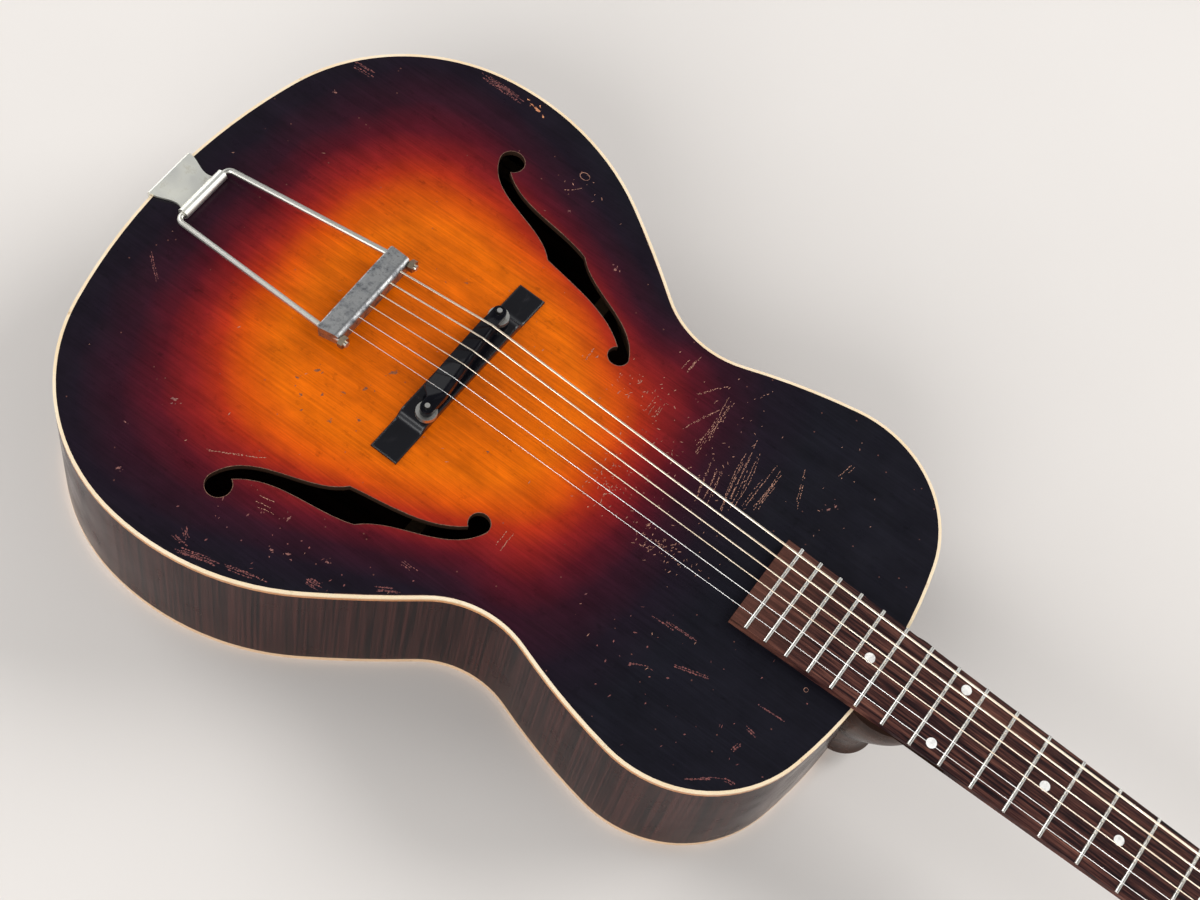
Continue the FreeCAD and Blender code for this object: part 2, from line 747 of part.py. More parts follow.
def post_places():
    """Post centres in the head frame, in the order of the strings."""
    bass = [(x, POST_Y) for x in POST_X]
    treble = [(x, -POST_Y) for x in reversed(POST_X)]
    return bass + treble


def neck():
    """Neck, heel, tenon and head in one piece of wood."""
    start = BODY_NECK_X - JOIN_X - HEEL_SINK
    half_end = board_half_width(NUT_X)
    end = NUT_X + NUT_THICK
    shaft = neck_shaft(start, end)
    volute_top = -BOARD_THICK - 20 * math.tan(math.radians(HEAD_ANGLE)) - 3
    volute = Part.makeLoft([
        neck_section(end - 2, half_end - 0.5, -BOARD_THICK - 1, NECK_DEPTH_NUT - 1),
        neck_section(end + 20, half_end * 0.5, volute_top, HEAD_THICK - 5)], True, True)
    head = head_outline().extrude(Vector(0, 0, -HEAD_THICK))
    head = head.cut(head_holes(BUSHING_RADIUS))
    heel = Part.makeLoft([heel_section(*section) for section in HEEL_SECTIONS], True, False)
    wood = fused([placed(shaft, NECK_FRAME), placed(volute, NECK_FRAME), placed(head, HEAD_FRAME), heel])
    wood = wood.cut(body_prism(0, -FAR, FAR))
    above_board = box((-FAR, NUT_X + NUT_THICK), (-FAR, FAR), (-BOARD_THICK, FAR))
    wood = wood.cut([placed(above_board, NECK_FRAME), *tuner_screw_shanks()])
    return fused([wood, tenon()])


def head_veneer():
    """Thin facing on the head."""
    facing = head_outline().extrude(Vector(0, 0, VENEER_THICK)).cut(head_holes(BUSHING_RADIUS))
    in_front = box((-FAR, NUT_X + NUT_THICK), (-FAR, FAR), (-FAR, FAR))
    return placed(facing, HEAD_FRAME).cut(placed(in_front, NECK_FRAME))


def tuner_plate():
    """The bass plate behind the head, with a pair of ears for each worm."""
    low = -HEAD_THICK - PLATE_THICK
    first = POST_X[0] - PLATE_END
    last = POST_X[-1] + WORM_REACH + PLATE_END
    plate = box((first, last), (POST_Y - PLATE_HALF_WIDTH, POST_Y + PLATE_HALF_WIDTH), (low, -HEAD_THICK))
    plate = plate.makeFillet(3.0, upright_edges(plate))
    pieces = [plate]
    for x in POST_X:
        for side in (-1, 1):
            pieces.append(ear(x + WORM_REACH, POST_Y + side * EAR_OFFSET))
    plate = fused(pieces)
    holes = []
    for x in POST_X:
        post = Vector(x, POST_Y, 0)
        holes.append(loose_hole(POST_RADIUS + RUNNING_GAP, post - Z_AXIS * 2 * HEAD_THICK, post))
        shaft = Vector(x + WORM_REACH, 0, GEAR_MID_Z)
        holes.append(loose_hole(SHAFT_RADIUS + RUNNING_GAP, shaft, shaft + Y_AXIS * 2 * POST_Y))
    holes += [plate_screw_shank(Vector(x, y, low)) for x, y in plate_screw_places()]
    return plate.cut(holes)


def ear(x, y):
    """A lug bent out of the tuner plate, round at its tip."""
    half = EAR_HALF_WIDTH
    near = y - EAR_THICK / 2
    far = y + EAR_THICK / 2
    lug = box((x - half, x + half), (near, far), (GEAR_MID_Z, -HEAD_THICK - PLATE_THICK / 2))
    return lug.fuse(prism(half, Vector(x, near, GEAR_MID_Z), Vector(x, far, GEAR_MID_Z)))


def plate_screw_places():
    """Screws along the middle of the bass tuner plate."""
    between = [(POST_X[i] + POST_X[i + 1]) / 2 + WORM_REACH / 2 for i in range(len(POST_X) - 1)]
    ends = [POST_X[0] - PLATE_END + 5, POST_X[-1] + WORM_REACH + PLATE_END - 5]
    return [(x, POST_Y) for x in [ends[0], *between, ends[1]]]


def tuner_screw_places():
    """Heads of all tuner plate screws in the head frame."""
    low = -HEAD_THICK - PLATE_THICK
    return [Vector(x, side * y, low) for x, y in plate_screw_places() for side in (1, -1)]


def plate_screw_shank(seat):
    """A tuner plate screw without its head, in the head frame."""
    return prism(PLATE_SCREW_RADIUS, seat, seat + Z_AXIS * PLATE_SCREW_LENGTH)


def tuner_screw_shanks():
    """The tuner plate screws without their heads."""
    return [placed(plate_screw_shank(seat), HEAD_FRAME) for seat in tuner_screw_places()]


def screw(radius, length, head, seat, way):
    """A wood screw with a tapered head, from its seat along a direction into the wood."""
    wide, narrow, height = head
    return turned([(radius, length), (radius, 0), (wide, 0), (narrow, -height)], seat, way)


def tuner_screws():
    """Wood screws that hold the two tuner plates."""
    size = (PLATE_SCREW_RADIUS, PLATE_SCREW_LENGTH, PLATE_SCREW_HEAD)
    screws = [screw(*size, seat, Z_AXIS) for seat in tuner_screw_places()]
    return Part.makeCompound([placed(piece, HEAD_FRAME) for piece in screws])


def tuner_bushings():
    """Flanged collars with a round bore that guide the posts through the face of the head."""
    top = VENEER_THICK + FLANGE_THICK
    profile = [(BUSHING_RADIUS, -BUSHING_DEPTH), (BUSHING_RADIUS, VENEER_THICK)]
    profile += [(FLANGE_RADIUS, VENEER_THICK), (FLANGE_RADIUS - FLANGE_THICK, top)]
    collars = []
    for x, y in post_places():
        place = Vector(x, y, 0)
        reach = Z_AXIS * 2 * BUSHING_DEPTH
        bore = rod(POST_RADIUS + RUNNING_GAP, place - reach, place + reach)
        collars.append(placed(turned(profile, place, Z_AXIS).cut(bore), HEAD_FRAME))
    return Part.makeCompound(collars)


def tuner_post(place):
    """A string post with a waist for the windings and a riveted foot for its gear."""
    foot = GEAR_TOP_Z - GEAR_WIDTH
    low_waist, high_waist = POST_WAIST_Z
    profile = [(RIVET_RADIUS, foot - RIVET_HEIGHT), (RIVET_RADIUS, foot), (GEAR_BORE, foot)]
    profile += [(GEAR_BORE, GEAR_TOP_Z), (POST_RADIUS, GEAR_TOP_Z), (POST_RADIUS, low_waist)]
    profile += [(POST_WAIST_RADIUS, low_waist), (POST_WAIST_RADIUS, high_waist), (POST_RADIUS, high_waist)]
    profile += [(POST_RADIUS, POST_TOP_Z - 1), (POST_RADIUS - 1, POST_TOP_Z)]
    return turned(profile, place, Z_AXIS)


def tuner_gear(place):
    """A spur gear with a gap between two teeth facing the worm."""
    step = 2 * math.pi / GEAR_TEETH
    points = []
    for tooth in range(GEAR_TEETH):
        middle = (tooth + 0.5) * step
        sides = ((GEAR_ROOT_RADIUS, -GEAR_ROOT_THICK), (GEAR_TIP_RADIUS, -GEAR_TIP_THICK),
                 (GEAR_TIP_RADIUS, GEAR_TIP_THICK), (GEAR_ROOT_RADIUS, GEAR_ROOT_THICK))
        for radius, thick in sides:
            angle = middle + thick / 2 / radius
            points.append(Vector(radius * math.cos(angle), radius * math.sin(angle), GEAR_TOP_Z))
    disc = polygon(points).extrude(Vector(0, 0, -GEAR_WIDTH))
    bore = prism(GEAR_BORE, Vector(0, 0, 2 * GEAR_TOP_Z), Vector(0, 0, 0))
    return disc.cut(bore).translated(place)


def worm_thread():
    """A single-start thread about Y, whose middle turn faces a gear on the low-x side."""
    inner = WORM_ROOT_RADIUS - 0.4
    low = WORM_ROOT_THICK / 2
    high = WORM_TIP_THICK / 2
    corners = [(inner, -low), (WORM_TIP_RADIUS, -high), (WORM_TIP_RADIUS, high), (inner, low)]
    steps = WORM_TURNS * WORM_STEPS_PER_TURN
    rings = []
    for step in range(steps + 1):
        turn = (step - steps / 2) / WORM_STEPS_PER_TURN
        angle = math.pi + 2 * math.pi * turn
        ring = []
        for radius, offset in corners:
            along = turn * WORM_PITCH + offset
            ring.append(Vector(radius * math.cos(angle), along, -radius * math.sin(angle)))
        rings.append(ring)
    return skinned(rings)


def tuner_shaft():
    """A bass-side worm shaft with its thread and its moulded button, about Y through the origin."""
    core_half = EAR_OFFSET - EAR_THICK / 2 - EAR_PLAY
    core = prism(WORM_ROOT_RADIUS, Vector(0, -core_half, 0), Vector(0, core_half, 0))
    reach = BUTTON_START_Y - POST_Y
    shaft = rod(SHAFT_RADIUS, Vector(0, -EAR_OFFSET - EAR_THICK, 0), Vector(0, reach + BUTTON_COLLAR, 0))
    return fused([core, shaft, worm_thread(), button().translated(Vector(0, reach, 0))])


def button():
    """A thick round button with softened rims, on a collar that widens from the shaft."""
    half = BUTTON_THICK / 2
    flat = BUTTON_RADIUS - BUTTON_ROUND
    rim = half - BUTTON_ROUND
    profile = [(flat, -half), (BUTTON_RADIUS, -rim), (BUTTON_RADIUS, rim), (flat, half)]
    disc = turned(profile, Vector(0, BUTTON_COLLAR + flat, 0), Z_AXIS)
    collar = turned([(2 * SHAFT_RADIUS, 0), (half, BUTTON_COLLAR)], Vector(0, 0, 0), Y_AXIS)
    return disc.fuse(collar)


def bridge_base():
    """The long foot of the bridge, thin at its ends, scribed to the arch."""
    half = BASE_LENGTH / 2
    tab = half - BASE_TAB_LENGTH
    ramp = tab - BASE_RAMP_LENGTH
    foot = Vector(half, RIM_HEIGHT, 0)
    tip = Vector(half, BASE_TAB_Z, 0)
    step = Vector(tab, BASE_TAB_Z + BASE_TAB_RISE, 0)
    crest = Vector(ramp, BASE_TOP_Z, 0)
    side = [Part.makeLine(foot, tip), Part.makeLine(tip, step), *s_curve(step, crest)]
    other = [edge.mirror(Vector(0, 0, 0), X_AXIS) for edge in side]
    flats = [Part.makeLine(point, Vector(-point.x, point.y, 0)) for point in (foot, crest)]
    face = Part.Face(Part.Wire(Part.__sortEdges__(side + other + flats)))
    face.Placement = Placement(Vector(-BASE_WIDTH / 2, 0, 0), Rotation(Y_AXIS, Z_AXIS, X_AXIS, "XYZ"))
    blank = face.extrude(Vector(BASE_WIDTH, 0, 0))
    rims = [edge for edge in blank.Edges if edge.BoundBox.ZMin > RIM_HEIGHT + 1 and is_rim(edge)]
    blank = blank.makeChamfer(BASE_EDGE, rims)
    blank.rotate(Vector(0, 0, 0), Z_AXIS, BASE_SKEW)
    blank.translate(Vector(BASE_CENTRE_X, 0, 0))
    return blank.cut(BELOW_TOP).cut(bridge_post_rods())


def s_curve(start, end):
    """Two arcs from a point to another, level at both ends."""
    half = (end - start) * 0.5
    middle = start + half
    reach = X_AXIS * (half.dot(half) / (2 * half.x))
    return [tangent_arc(start, start + reach, middle), tangent_arc(middle, end - reach, end)]


def is_rim(edge):
    """Whether an edge of the bridge base is one of the long edges or the edge of a tab's tip."""
    centre = edge.CenterOfMass
    return abs(centre.x) > BASE_WIDTH / 2 - 0.01 or abs(centre.y) > BASE_LENGTH / 2 - 0.01


def bridge_post_rods():
    """The two studs as plain rods."""
    low, high = BRIDGE_POST_Z
    return [rod(BRIDGE_POST_RADIUS, Vector(x, y, low), Vector(x, y, high)) for x, y in BRIDGE_POSTS]


def thumbwheel(place):
    """A thumbwheel with a milled rim and a round bore for its stud."""
    x, y = place
    low, high = WHEEL_Z
    disc = polygon(even_ring(WHEEL_RADIUS, Vector(x, y, low), Z_AXIS, WHEEL_FLATS))
    disc = disc.extrude(Vector(0, 0, high - low))
    return disc.cut(rod(BRIDGE_POST_RADIUS + RUNNING_GAP, Vector(x, y, low - 1), Vector(x, y, high + 1)))


def ridge_x(y):
    """Place of the saddle's ridge, which slants so that the bass strings are longer."""
    share = 0.5 - y / (2 * SADDLE_HALF_LENGTH)
    front = SADDLE_FRONT_X[0] + share * (SADDLE_FRONT_X[1] - SADDLE_FRONT_X[0])
    return front - RIDGE_SET_BACK


def ridge_z(y):
    """Height of the saddle's ridge, rounded like the fingerboard."""
    return RIDGE_Z - crown(y)


def saddle_section(y):
    """Section of the saddle: a long slope behind the ridge, a steep face, and a nose at the ends."""
    first, last = SADDLE_PINCH
    pinch = min(1.0, max(0.0, (abs(y) - first) / (last - first)))
    post_x = BRIDGE_POSTS[0][0] if y > 0 else BRIDGE_POSTS[1][0]

    def towards(value, nose):
        return value + pinch * (nose - value)

    low = SADDLE_LOW
    fall = crown(y)
    ridge = towards(ridge_x(y), post_x)
    rear = towards(SADDLE_REAR_X, post_x - SADDLE_NOSE_RADIUS)
    front = towards(ridge_x(y) + RIDGE_SET_BACK, post_x + SADDLE_NOSE_RADIUS)
    points = [(rear, low), (front, low), (front, towards(SADDLE_FRONT_Z - fall, SADDLE_NOSE_TOP))]
    points += [(ridge + side * RIDGE_HALF, towards(ridge_z(y), SADDLE_NOSE_TOP)) for side in (1, -1)]
    points += [(rear, towards(SADDLE_REAR_Z - fall, SADDLE_NOSE_TOP))]
    return [Vector(x, y, z) for x, z in points]


def bridge_saddle():
    """The saddle, with a round nose at each end that slides on a stud."""
    body = skinned([saddle_section(y) for y in SADDLE_STATIONS])
    low = SADDLE_LOW
    noses = []
    holes = []
    for x, y in BRIDGE_POSTS:
        noses.append(rod(SADDLE_NOSE_RADIUS, Vector(x, y, low), Vector(x, y, SADDLE_NOSE_TOP)))
        holes.append(rod(BRIDGE_POST_RADIUS + 0.25, Vector(x, y, low - 1), Vector(x, y, 2 * RIDGE_Z)))
    return fused([body, *noses]).cut(holes)


SADDLE_X = ridge_x(0)
SADDLE_STRING_Z = RIDGE_Z + STRING_SEAT_GAP + sum(STRING_DIAMETERS) / len(STRING_DIAMETERS) / 2
TAIL_RUN = Vector(SADDLE_X - HINGE_X, 0, SADDLE_STRING_Z - HINGE_Z)
TAIL_TILT = math.degrees(math.atan2(TAIL_RUN.z, TAIL_RUN.x))
TAIL_FRAME = Placement(Vector(HINGE_X, 0, HINGE_Z), Rotation(Y_AXIS, -TAIL_TILT))


def tail_bracket():
    """A plate bent over the tail edge, with a rolled knuckle for the hinge pin."""
    low = HINGE_Z - KNUCKLE_RADIUS
    outer_x = BODY_TAIL_X - BRACKET_THICK
    across = (-BRACKET_HALF_RIM, BRACKET_HALF_RIM)
    leaf = box((outer_x, BODY_TAIL_X), across, (BRACKET_LEAF_Z, low + BRACKET_THICK))
    tongue = tongue_plan().translated(Vector(0, 0, low)).extrude(Vector(0, 0, BRACKET_THICK))
    hinge = Vector(HINGE_X, 0, HINGE_Z)
    knuckle = rod(KNUCKLE_RADIUS, hinge - Y_AXIS * KNUCKLE_HALF, hinge + Y_AXIS * KNUCKLE_HALF)
    plate = fused([leaf, tongue, knuckle])
    plate = plate.makeFillet(BRACKET_THICK * 0.9, edges_at(plate, outer_x, low + BRACKET_THICK))
    pin = rod(YOKE_RADIUS + RUNNING_GAP, hinge - Y_AXIS * FAR, hinge + Y_AXIS * FAR)
    return plate.cut([pin, end_pin_shank(), *bracket_screw_shanks()])


def edges_at(shape, x, z):
    """Edges whose middle is at a distance along X and a height."""
    middles = [(edge, edge.CenterOfMass) for edge in shape.Edges]
    return [edge for edge, middle in middles if abs(middle.x - x) < 0.01 and abs(middle.z - z) < 0.01]


def tongue_plan():
    """Plan of the bracket on the top: S-curved shoulders between the rim and the knuckle."""
    rim_x = BODY_TAIL_X - BRACKET_THICK
    waist_x = (BODY_TAIL_X + HINGE_X) / 2
    edges = []
    for sign in (1, -1):
        points = [(rim_x, BRACKET_HALF_RIM), (BODY_TAIL_X + 2, BRACKET_HALF_RIM)]
        points += [(waist_x, BRACKET_HALF_NARROW), (HINGE_X, KNUCKLE_HALF)]
        edges.append(spline([(x, sign * y) for x, y in points]))
    for x, half in ((rim_x, BRACKET_HALF_RIM), (HINGE_X, KNUCKLE_HALF)):
        edges.append(Part.makeLine(Vector(x, half, 0), Vector(x, -half, 0)))
    return Part.Face(Part.Wire(Part.__sortEdges__(edges)))


def bracket_screw_seats():
    """Places of the tail bracket's screw heads."""
    return [Vector(BODY_TAIL_X - BRACKET_THICK, y, z) for y, z in BRACKET_SCREWS]


def bracket_screw_shanks():
    """The screws of the tail bracket without their heads."""
    run = X_AXIS * BRACKET_SCREW_LENGTH
    return [prism(BRACKET_SCREW_RADIUS, seat, seat + run) for seat in bracket_screw_seats()]


def bracket_screws():
    """Screws through the tail bracket into the tail block."""
    size = (BRACKET_SCREW_RADIUS, BRACKET_SCREW_LENGTH, BRACKET_SCREW_HEAD)
    return Part.makeCompound([screw(*size, seat, X_AXIS) for seat in bracket_screw_seats()])


def bent_wire(points, radii):
    """A path of straight runs through points, rounded at each inner point."""
    edges = []
    start = points[0]
    for index in range(1, len(points) - 1):
        corner = points[index]
        before = (points[index - 1] - corner).normalize()
        after = (points[index + 1] - corner).normalize()
        turn = math.pi - before.getAngle(after)
        reach = radii[index - 1] * math.tan(turn / 2)
        first = corner + before * reach
        last = corner + after * reach
        edges.append(Part.makeLine(start, first))
        edges.append(tangent_arc(first, corner, last))
        start = last
    edges.append(Part.makeLine(start, points[-1]))
    return edges


def tangent_arc(first, corner, last):
    """The arc between two points whose tangents meet at a corner."""
    middle = (first + last) * 0.5
    rise = corner - middle
    half_chord = (last - first).Length / 2
    sagitta = half_chord * math.tan(math.atan2(rise.Length, half_chord) / 2)
    return arc(first, middle + rise.normalize() * sagitta, last)


def tube(edges, ring):
    """A tube along joined edges, from a closed ring about the start of the first."""
    sweep = Part.BRepOffsetAPI.MakePipeShell(Part.Wire(edges))
    sweep.add(ring)
    sweep.build()
    sweep.makeSolid()
    return sweep.shape()


def string_corner(diameter):
    """Reach of the corners of a many-sided string that has the area of a round one."""
    step = 2 * math.pi / STRING_SIDES
    return diameter / 2 * math.sqrt(step / math.sin(step))


def closed_ring(corners):
    """A closed wire through corners."""
    return Part.makePolygon([*corners, corners[0]])


def leg_ends():
    """Both ends of the bass leg of the yoke, at the bar and at the hinge."""
    return [Vector(YOKE_END_X, YOKE_HALF_END, -YOKE_DROP), Vector(0, YOKE_HALF_HINGE, 0)]


def tail_yoke():
    """One bent wire: hinge pin through the knuckle and two legs threaded into the bar."""
    ends = leg_ends()
    points = ends + [Vector(point.x, -point.y, point.z) for point in reversed(ends)]
    ring = closed_ring(even_ring(YOKE_RADIUS, points[0], points[1] - points[0], YOKE_SIDES))
    return placed(tube(bent_wire(points, (YOKE_BEND, YOKE_BEND)), ring), TAIL_FRAME)


def leg_axis():
    """Direction of the bass leg and the point where it passes the front of the bar."""
    end, start = leg_ends()
    along = (end - start).normalize()
    front = end - along * ((YOKE_END_X - BAR_X[1]) / along.x)
    return along, front


def tail_bar():
    """The hollow crossbar that the legs and the strings hook into."""
    rear, front = BAR_X
    low, high = BAR_Z
    half_rear, half_front = BAR_HALF_LENGTH
    plan = polygon([Vector(rear, half_rear, low), Vector(front, half_front, low),
                    Vector(front, -half_front, low), Vector(rear, -half_rear, low)])
    block = plan.extrude(Vector(0, 0, high - low))
    round_corners = block.makeFillet(BAR_CORNER_ROUND, upright_edges(block))
    block = block.makeFillet(BAR_FRONT_ROUND, edges_at(block, front, high))
    block = block.makeFillet(BAR_REAR_ROUND, edges_at(block, rear, high)).common(round_corners)
    hollow_half = half_front - BAR_WALL
    across = (-hollow_half, hollow_half)
    hollow = box((rear + BAR_WALL, front - BAR_WALL), across, (low - 1, high - BAR_TOP_THICK))
    along, leg = leg_axis()
    bore = Part.makeCylinder(YOKE_RADIUS + LEG_FIT, 4 * BAR_X[1], leg - along * 2 * BAR_X[1], along)
    holes = [bore, mirrored(bore)]
    for index, diameter in enumerate(STRING_DIAMETERS):
        start, saddle = tail_string_ends(index)
        run = (saddle - start).normalize() * BAR_WALL
        holes.append(loose_hole(diameter / 2 + STRING_CLEARANCE, start - run, start + run * 3))
    return placed(block.cut(hollow).cut(holes), TAIL_FRAME)


def tail_nuts():
    """Hexagon nuts on the legs, against the front of the bar."""
    along, leg = leg_axis()
    corner = NUT_FLAT / math.sqrt(3)
    angles = [math.radians(60 * step) for step in range(6)]
    blank = polygon([Vector(corner * math.cos(angle), corner * math.sin(angle), 0) for angle in angles])
    blank = blank.extrude(Vector(0, 0, TAIL_NUT_THICK))
    blank = blank.cut(Part.makeCylinder(YOKE_RADIUS + LEG_FIT, TAIL_NUT_THICK))
    seat = leg + along * (corner * abs(along.y) + NUT_STAND_OFF)
    blank.Placement = Placement(seat, Rotation(Z_AXIS, along))
    return Part.makeCompound([placed(piece, TAIL_FRAME) for piece in (blank, mirrored(blank))])


def string_y(index, spread):
    """Place of a string across the strings, from the bass side."""
    return spread / 2 - index * spread / (len(STRING_DIAMETERS) - 1)


def saddle_point(index):
    """Centre of a string over the saddle's ridge."""
    y = string_y(index, STRING_SPREAD_SADDLE)
    return Vector(ridge_x(y), y, ridge_z(y) + STRING_DIAMETERS[index] / 2 + STRING_SEAT_GAP)


def nut_point(index):
    """Centre of a string at the nut, in the neck frame."""
    y = string_y(index, STRING_SPREAD_NUT)
    return Vector(NUT_X, y, STRING_HEIGHT_NUT - crown(y) + STRING_DIAMETERS[index] / 2)


def tail_string_ends(index):
    """First point of a string at its ball, and the saddle point, in the tailpiece frame."""
    saddle = TAIL_FRAME.inverse().multVec(saddle_point(index))
    ball_x = BAR_X[1] - BAR_WALL - BALL_RADIUS
    start = Vector(ball_x + BALL_RADIUS + BALL_GAP, string_y(index, STRING_SPREAD_BAR), 0)
    return start, saddle


def string_ball_ends():
    """Ball ends that hold the strings behind the front wall of the bar."""
    balls = []
    for index in range(len(STRING_DIAMETERS)):
        start, _ = tail_string_ends(index)
        low = Vector(start.x - BALL_GAP - BALL_RADIUS, start.y, -BALL_DROP - BALL_HEIGHT / 2)
        balls.append(placed(prism(BALL_RADIUS, low, low + Z_AXIS * BALL_HEIGHT), TAIL_FRAME))
    return Part.makeCompound(balls)


def biarc(start, start_way, end, end_way):
    """Two arcs from a point and direction to another point and direction."""
    run = end - start
    ways = start_way + end_way
    spread = 2 * (1 - start_way.dot(end_way))
    lean = run.dot(ways)
    reach = (-lean + math.sqrt(lean * lean + spread * run.dot(run))) / spread
    first_corner = start + start_way * reach
    last_corner = end - end_way * reach
    middle = (first_corner + last_corner) * 0.5
    return [tangent_arc(start, first_corner, middle), tangent_arc(middle, last_corner, end)]


def winding(index, nut_centre):
    """Tangent point, turns and cut end of a string on its post, in the head frame."""
    x, y = post_places()[index]
    sign = 1 if y > 0 else -1
    diameter = STRING_DIAMETERS[index]
    radius = POST_WAIST_RADIUS + diameter / 2 + STRING_SEAT_GAP
    pitch = diameter + WIND_GAP
    centre = Vector(x, y, 0)
    away = Vector(nut_centre.x - x, nut_centre.y - y, 0)
    bearing = math.atan2(away.y, away.x) + sign * math.acos(radius / away.Length)
    climb = pitch / (2 * math.pi)

    def point(turned):
        angle = bearing + sign * turned
        rise = WIND_START_Z + climb * turned
        return centre + Vector(radius * math.cos(angle), radius * math.sin(angle), rise)

    def way(turned):
        angle = bearing + sign * turned
        return Vector(-sign * radius * math.sin(angle), sign * radius * math.cos(angle), climb).normalize()

    edges = []
    start_way = (point(0) - nut_centre).normalize()
    for quarter in range(4 * WIND_TURNS):
        turned = quarter * math.pi / 2
        begin = start_way if quarter == 0 else way(turned)
        edges += biarc(point(turned), begin, point(turned + math.pi / 2), way(turned + math.pi / 2))
    last = WIND_TURNS * 2 * math.pi
    edges.append(Part.makeLine(point(last), point(last) + way(last) * STRING_TAIL))
    return point(0), edges


def string_path(index):
    """Points of a string's straight runs, and the edges of its winding."""
    start, _ = tail_string_ends(index)
    nut_local = nut_point(index)
    touch, turns = winding(index, HEAD_ON_NECK.inverse().multVec(nut_local))
    points = [TAIL_FRAME.multVec(start), saddle_point(index)]
    points += [NECK_FRAME.multVec(nut_local), HEAD_FRAME.multVec(touch)]
    return points, [placed(edge, HEAD_FRAME) for edge in turns]


def winding_gap(turns):
    """Least distance between the middles of a winding's turns, measured on points along them."""
    points = []
    for edge in turns:
        points += edge.discretize(8)[:-1]
    apart = int(0.6 * len(points) / WIND_TURNS)
    least = FAR
    for index, first in enumerate(points):
        for second in points[index + apart:]:
            least = min(least, first.distanceToPoint(second))
    return least


def guitar_string(index):
    """One string as an unbroken tube."""
    diameter = STRING_DIAMETERS[index]
    points, turns = string_path(index)
    edges = bent_wire(points, (STRING_BEND, STRING_BEND)) + turns
    corner = string_corner(diameter)
    solid = tube(edges, closed_ring(even_ring(corner, points[0], points[1] - points[0], STRING_SIDES)))
    length = sum(edge.Length for edge in edges)
    share = solid.Volume / (math.pi * diameter * diameter / 4 * length)
    gap = winding_gap(turns[:-1]) - 2 * corner
    number = len(STRING_DIAMETERS) - index
    print(f"string_{number}: length {length:.1f}, volume share {share:.4f}, least gap {gap:.2f}")
    return solid


CAVITY = cavity()


def all_nodes():
    """Every piece of the guitar by its name."""
    side = bass_side().cut([tenon(), end_pin_shank(), *bracket_screw_shanks()])
    nodes = {
        "top_plate": top_plate(),
        "back_plate": back_plate(),
        "bass_side": side,
        "treble_side": mirrored(side),
        "top_binding": binding(RIM_HEIGHT - BINDING_HEIGHT),
        "back_binding": binding(0),
        "neck_block": neck_block(),
        "tail_block": tail_block(),
        "linings": linings(),
        "tone_bars": tone_bars(),
        "back_braces": back_braces(),
        "end_pin": end_pin(),
        "neck": neck(),
        "head_veneer": head_veneer(),
        "fingerboard": fingerboard(),
        "frets": frets(),
        "position_dots": position_dots(),
        "nut": nut(),
        "tail_bracket": tail_bracket(),
        "bracket_screws": bracket_screws(),
        "tail_yoke": tail_yoke(),
        "tail_bar": tail_bar(),
        "tail_nuts": tail_nuts(),
        "string_ball_ends": string_ball_ends(),
        "bridge_base": bridge_base(),
        "bridge_posts": Part.makeCompound(bridge_post_rods()),
        "bridge_saddle": bridge_saddle(),
        "bass_thumbwheel": thumbwheel(BRIDGE_POSTS[0]),
        "treble_thumbwheel": thumbwheel(BRIDGE_POSTS[1]),
        "tuner_bushings": tuner_bushings(),
        "tuner_screws": tuner_screws(),
    }
    plate = tuner_plate()
    shaft_blank = tuner_shaft()
    nodes["bass_tuner_plate"] = placed(plate, HEAD_FRAME)
    nodes["treble_tuner_plate"] = placed(mirrored(plate), HEAD_FRAME)
    for index, (x, y) in enumerate(post_places()):
        number = len(STRING_DIAMETERS) - index
        pieces = {
            "post": tuner_post(Vector(x, abs(y), 0)),
            "gear": tuner_gear(Vector(x, abs(y), 0)),
            "shaft": shaft_blank.translated(Vector(x + WORM_REACH, abs(y), GEAR_MID_Z)),
        }
        for name, piece in pieces.items():
            handed = piece if y > 0 else mirrored(piece)
            nodes[f"tuner_{name}_{number}"] = placed(handed, HEAD_FRAME)
        nodes[f"string_{number}"] = guitar_string(index)
    return nodes


def main():
    os.makedirs("parts", exist_ok=True)
    for name, shape in all_nodes().items():
        shape.exportStep(f"parts/{name}.step")


main()
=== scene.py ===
import math
import random

import bmesh
import bpy
from mathutils import Matrix, Vector
from mathutils.bvhtree import BVHTree


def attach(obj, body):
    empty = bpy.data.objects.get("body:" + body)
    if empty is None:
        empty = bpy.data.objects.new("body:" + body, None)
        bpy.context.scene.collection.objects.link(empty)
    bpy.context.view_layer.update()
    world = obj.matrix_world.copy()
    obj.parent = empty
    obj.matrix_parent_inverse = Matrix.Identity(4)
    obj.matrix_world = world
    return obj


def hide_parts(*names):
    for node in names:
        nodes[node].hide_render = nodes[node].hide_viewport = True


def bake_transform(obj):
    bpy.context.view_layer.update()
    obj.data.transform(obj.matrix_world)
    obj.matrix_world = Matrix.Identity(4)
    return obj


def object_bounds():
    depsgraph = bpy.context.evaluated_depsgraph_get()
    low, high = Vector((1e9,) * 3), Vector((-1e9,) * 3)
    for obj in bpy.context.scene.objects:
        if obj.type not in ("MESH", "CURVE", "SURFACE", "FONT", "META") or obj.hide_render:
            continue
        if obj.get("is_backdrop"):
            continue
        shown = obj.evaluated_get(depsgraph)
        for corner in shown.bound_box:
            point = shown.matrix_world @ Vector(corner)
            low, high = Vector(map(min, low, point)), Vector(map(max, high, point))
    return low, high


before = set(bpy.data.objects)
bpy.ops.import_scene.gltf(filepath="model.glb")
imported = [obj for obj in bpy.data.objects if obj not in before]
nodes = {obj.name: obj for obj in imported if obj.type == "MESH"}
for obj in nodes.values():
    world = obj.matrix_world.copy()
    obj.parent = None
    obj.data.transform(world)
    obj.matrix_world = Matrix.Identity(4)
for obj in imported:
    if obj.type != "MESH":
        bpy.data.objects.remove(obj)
cad_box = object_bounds()
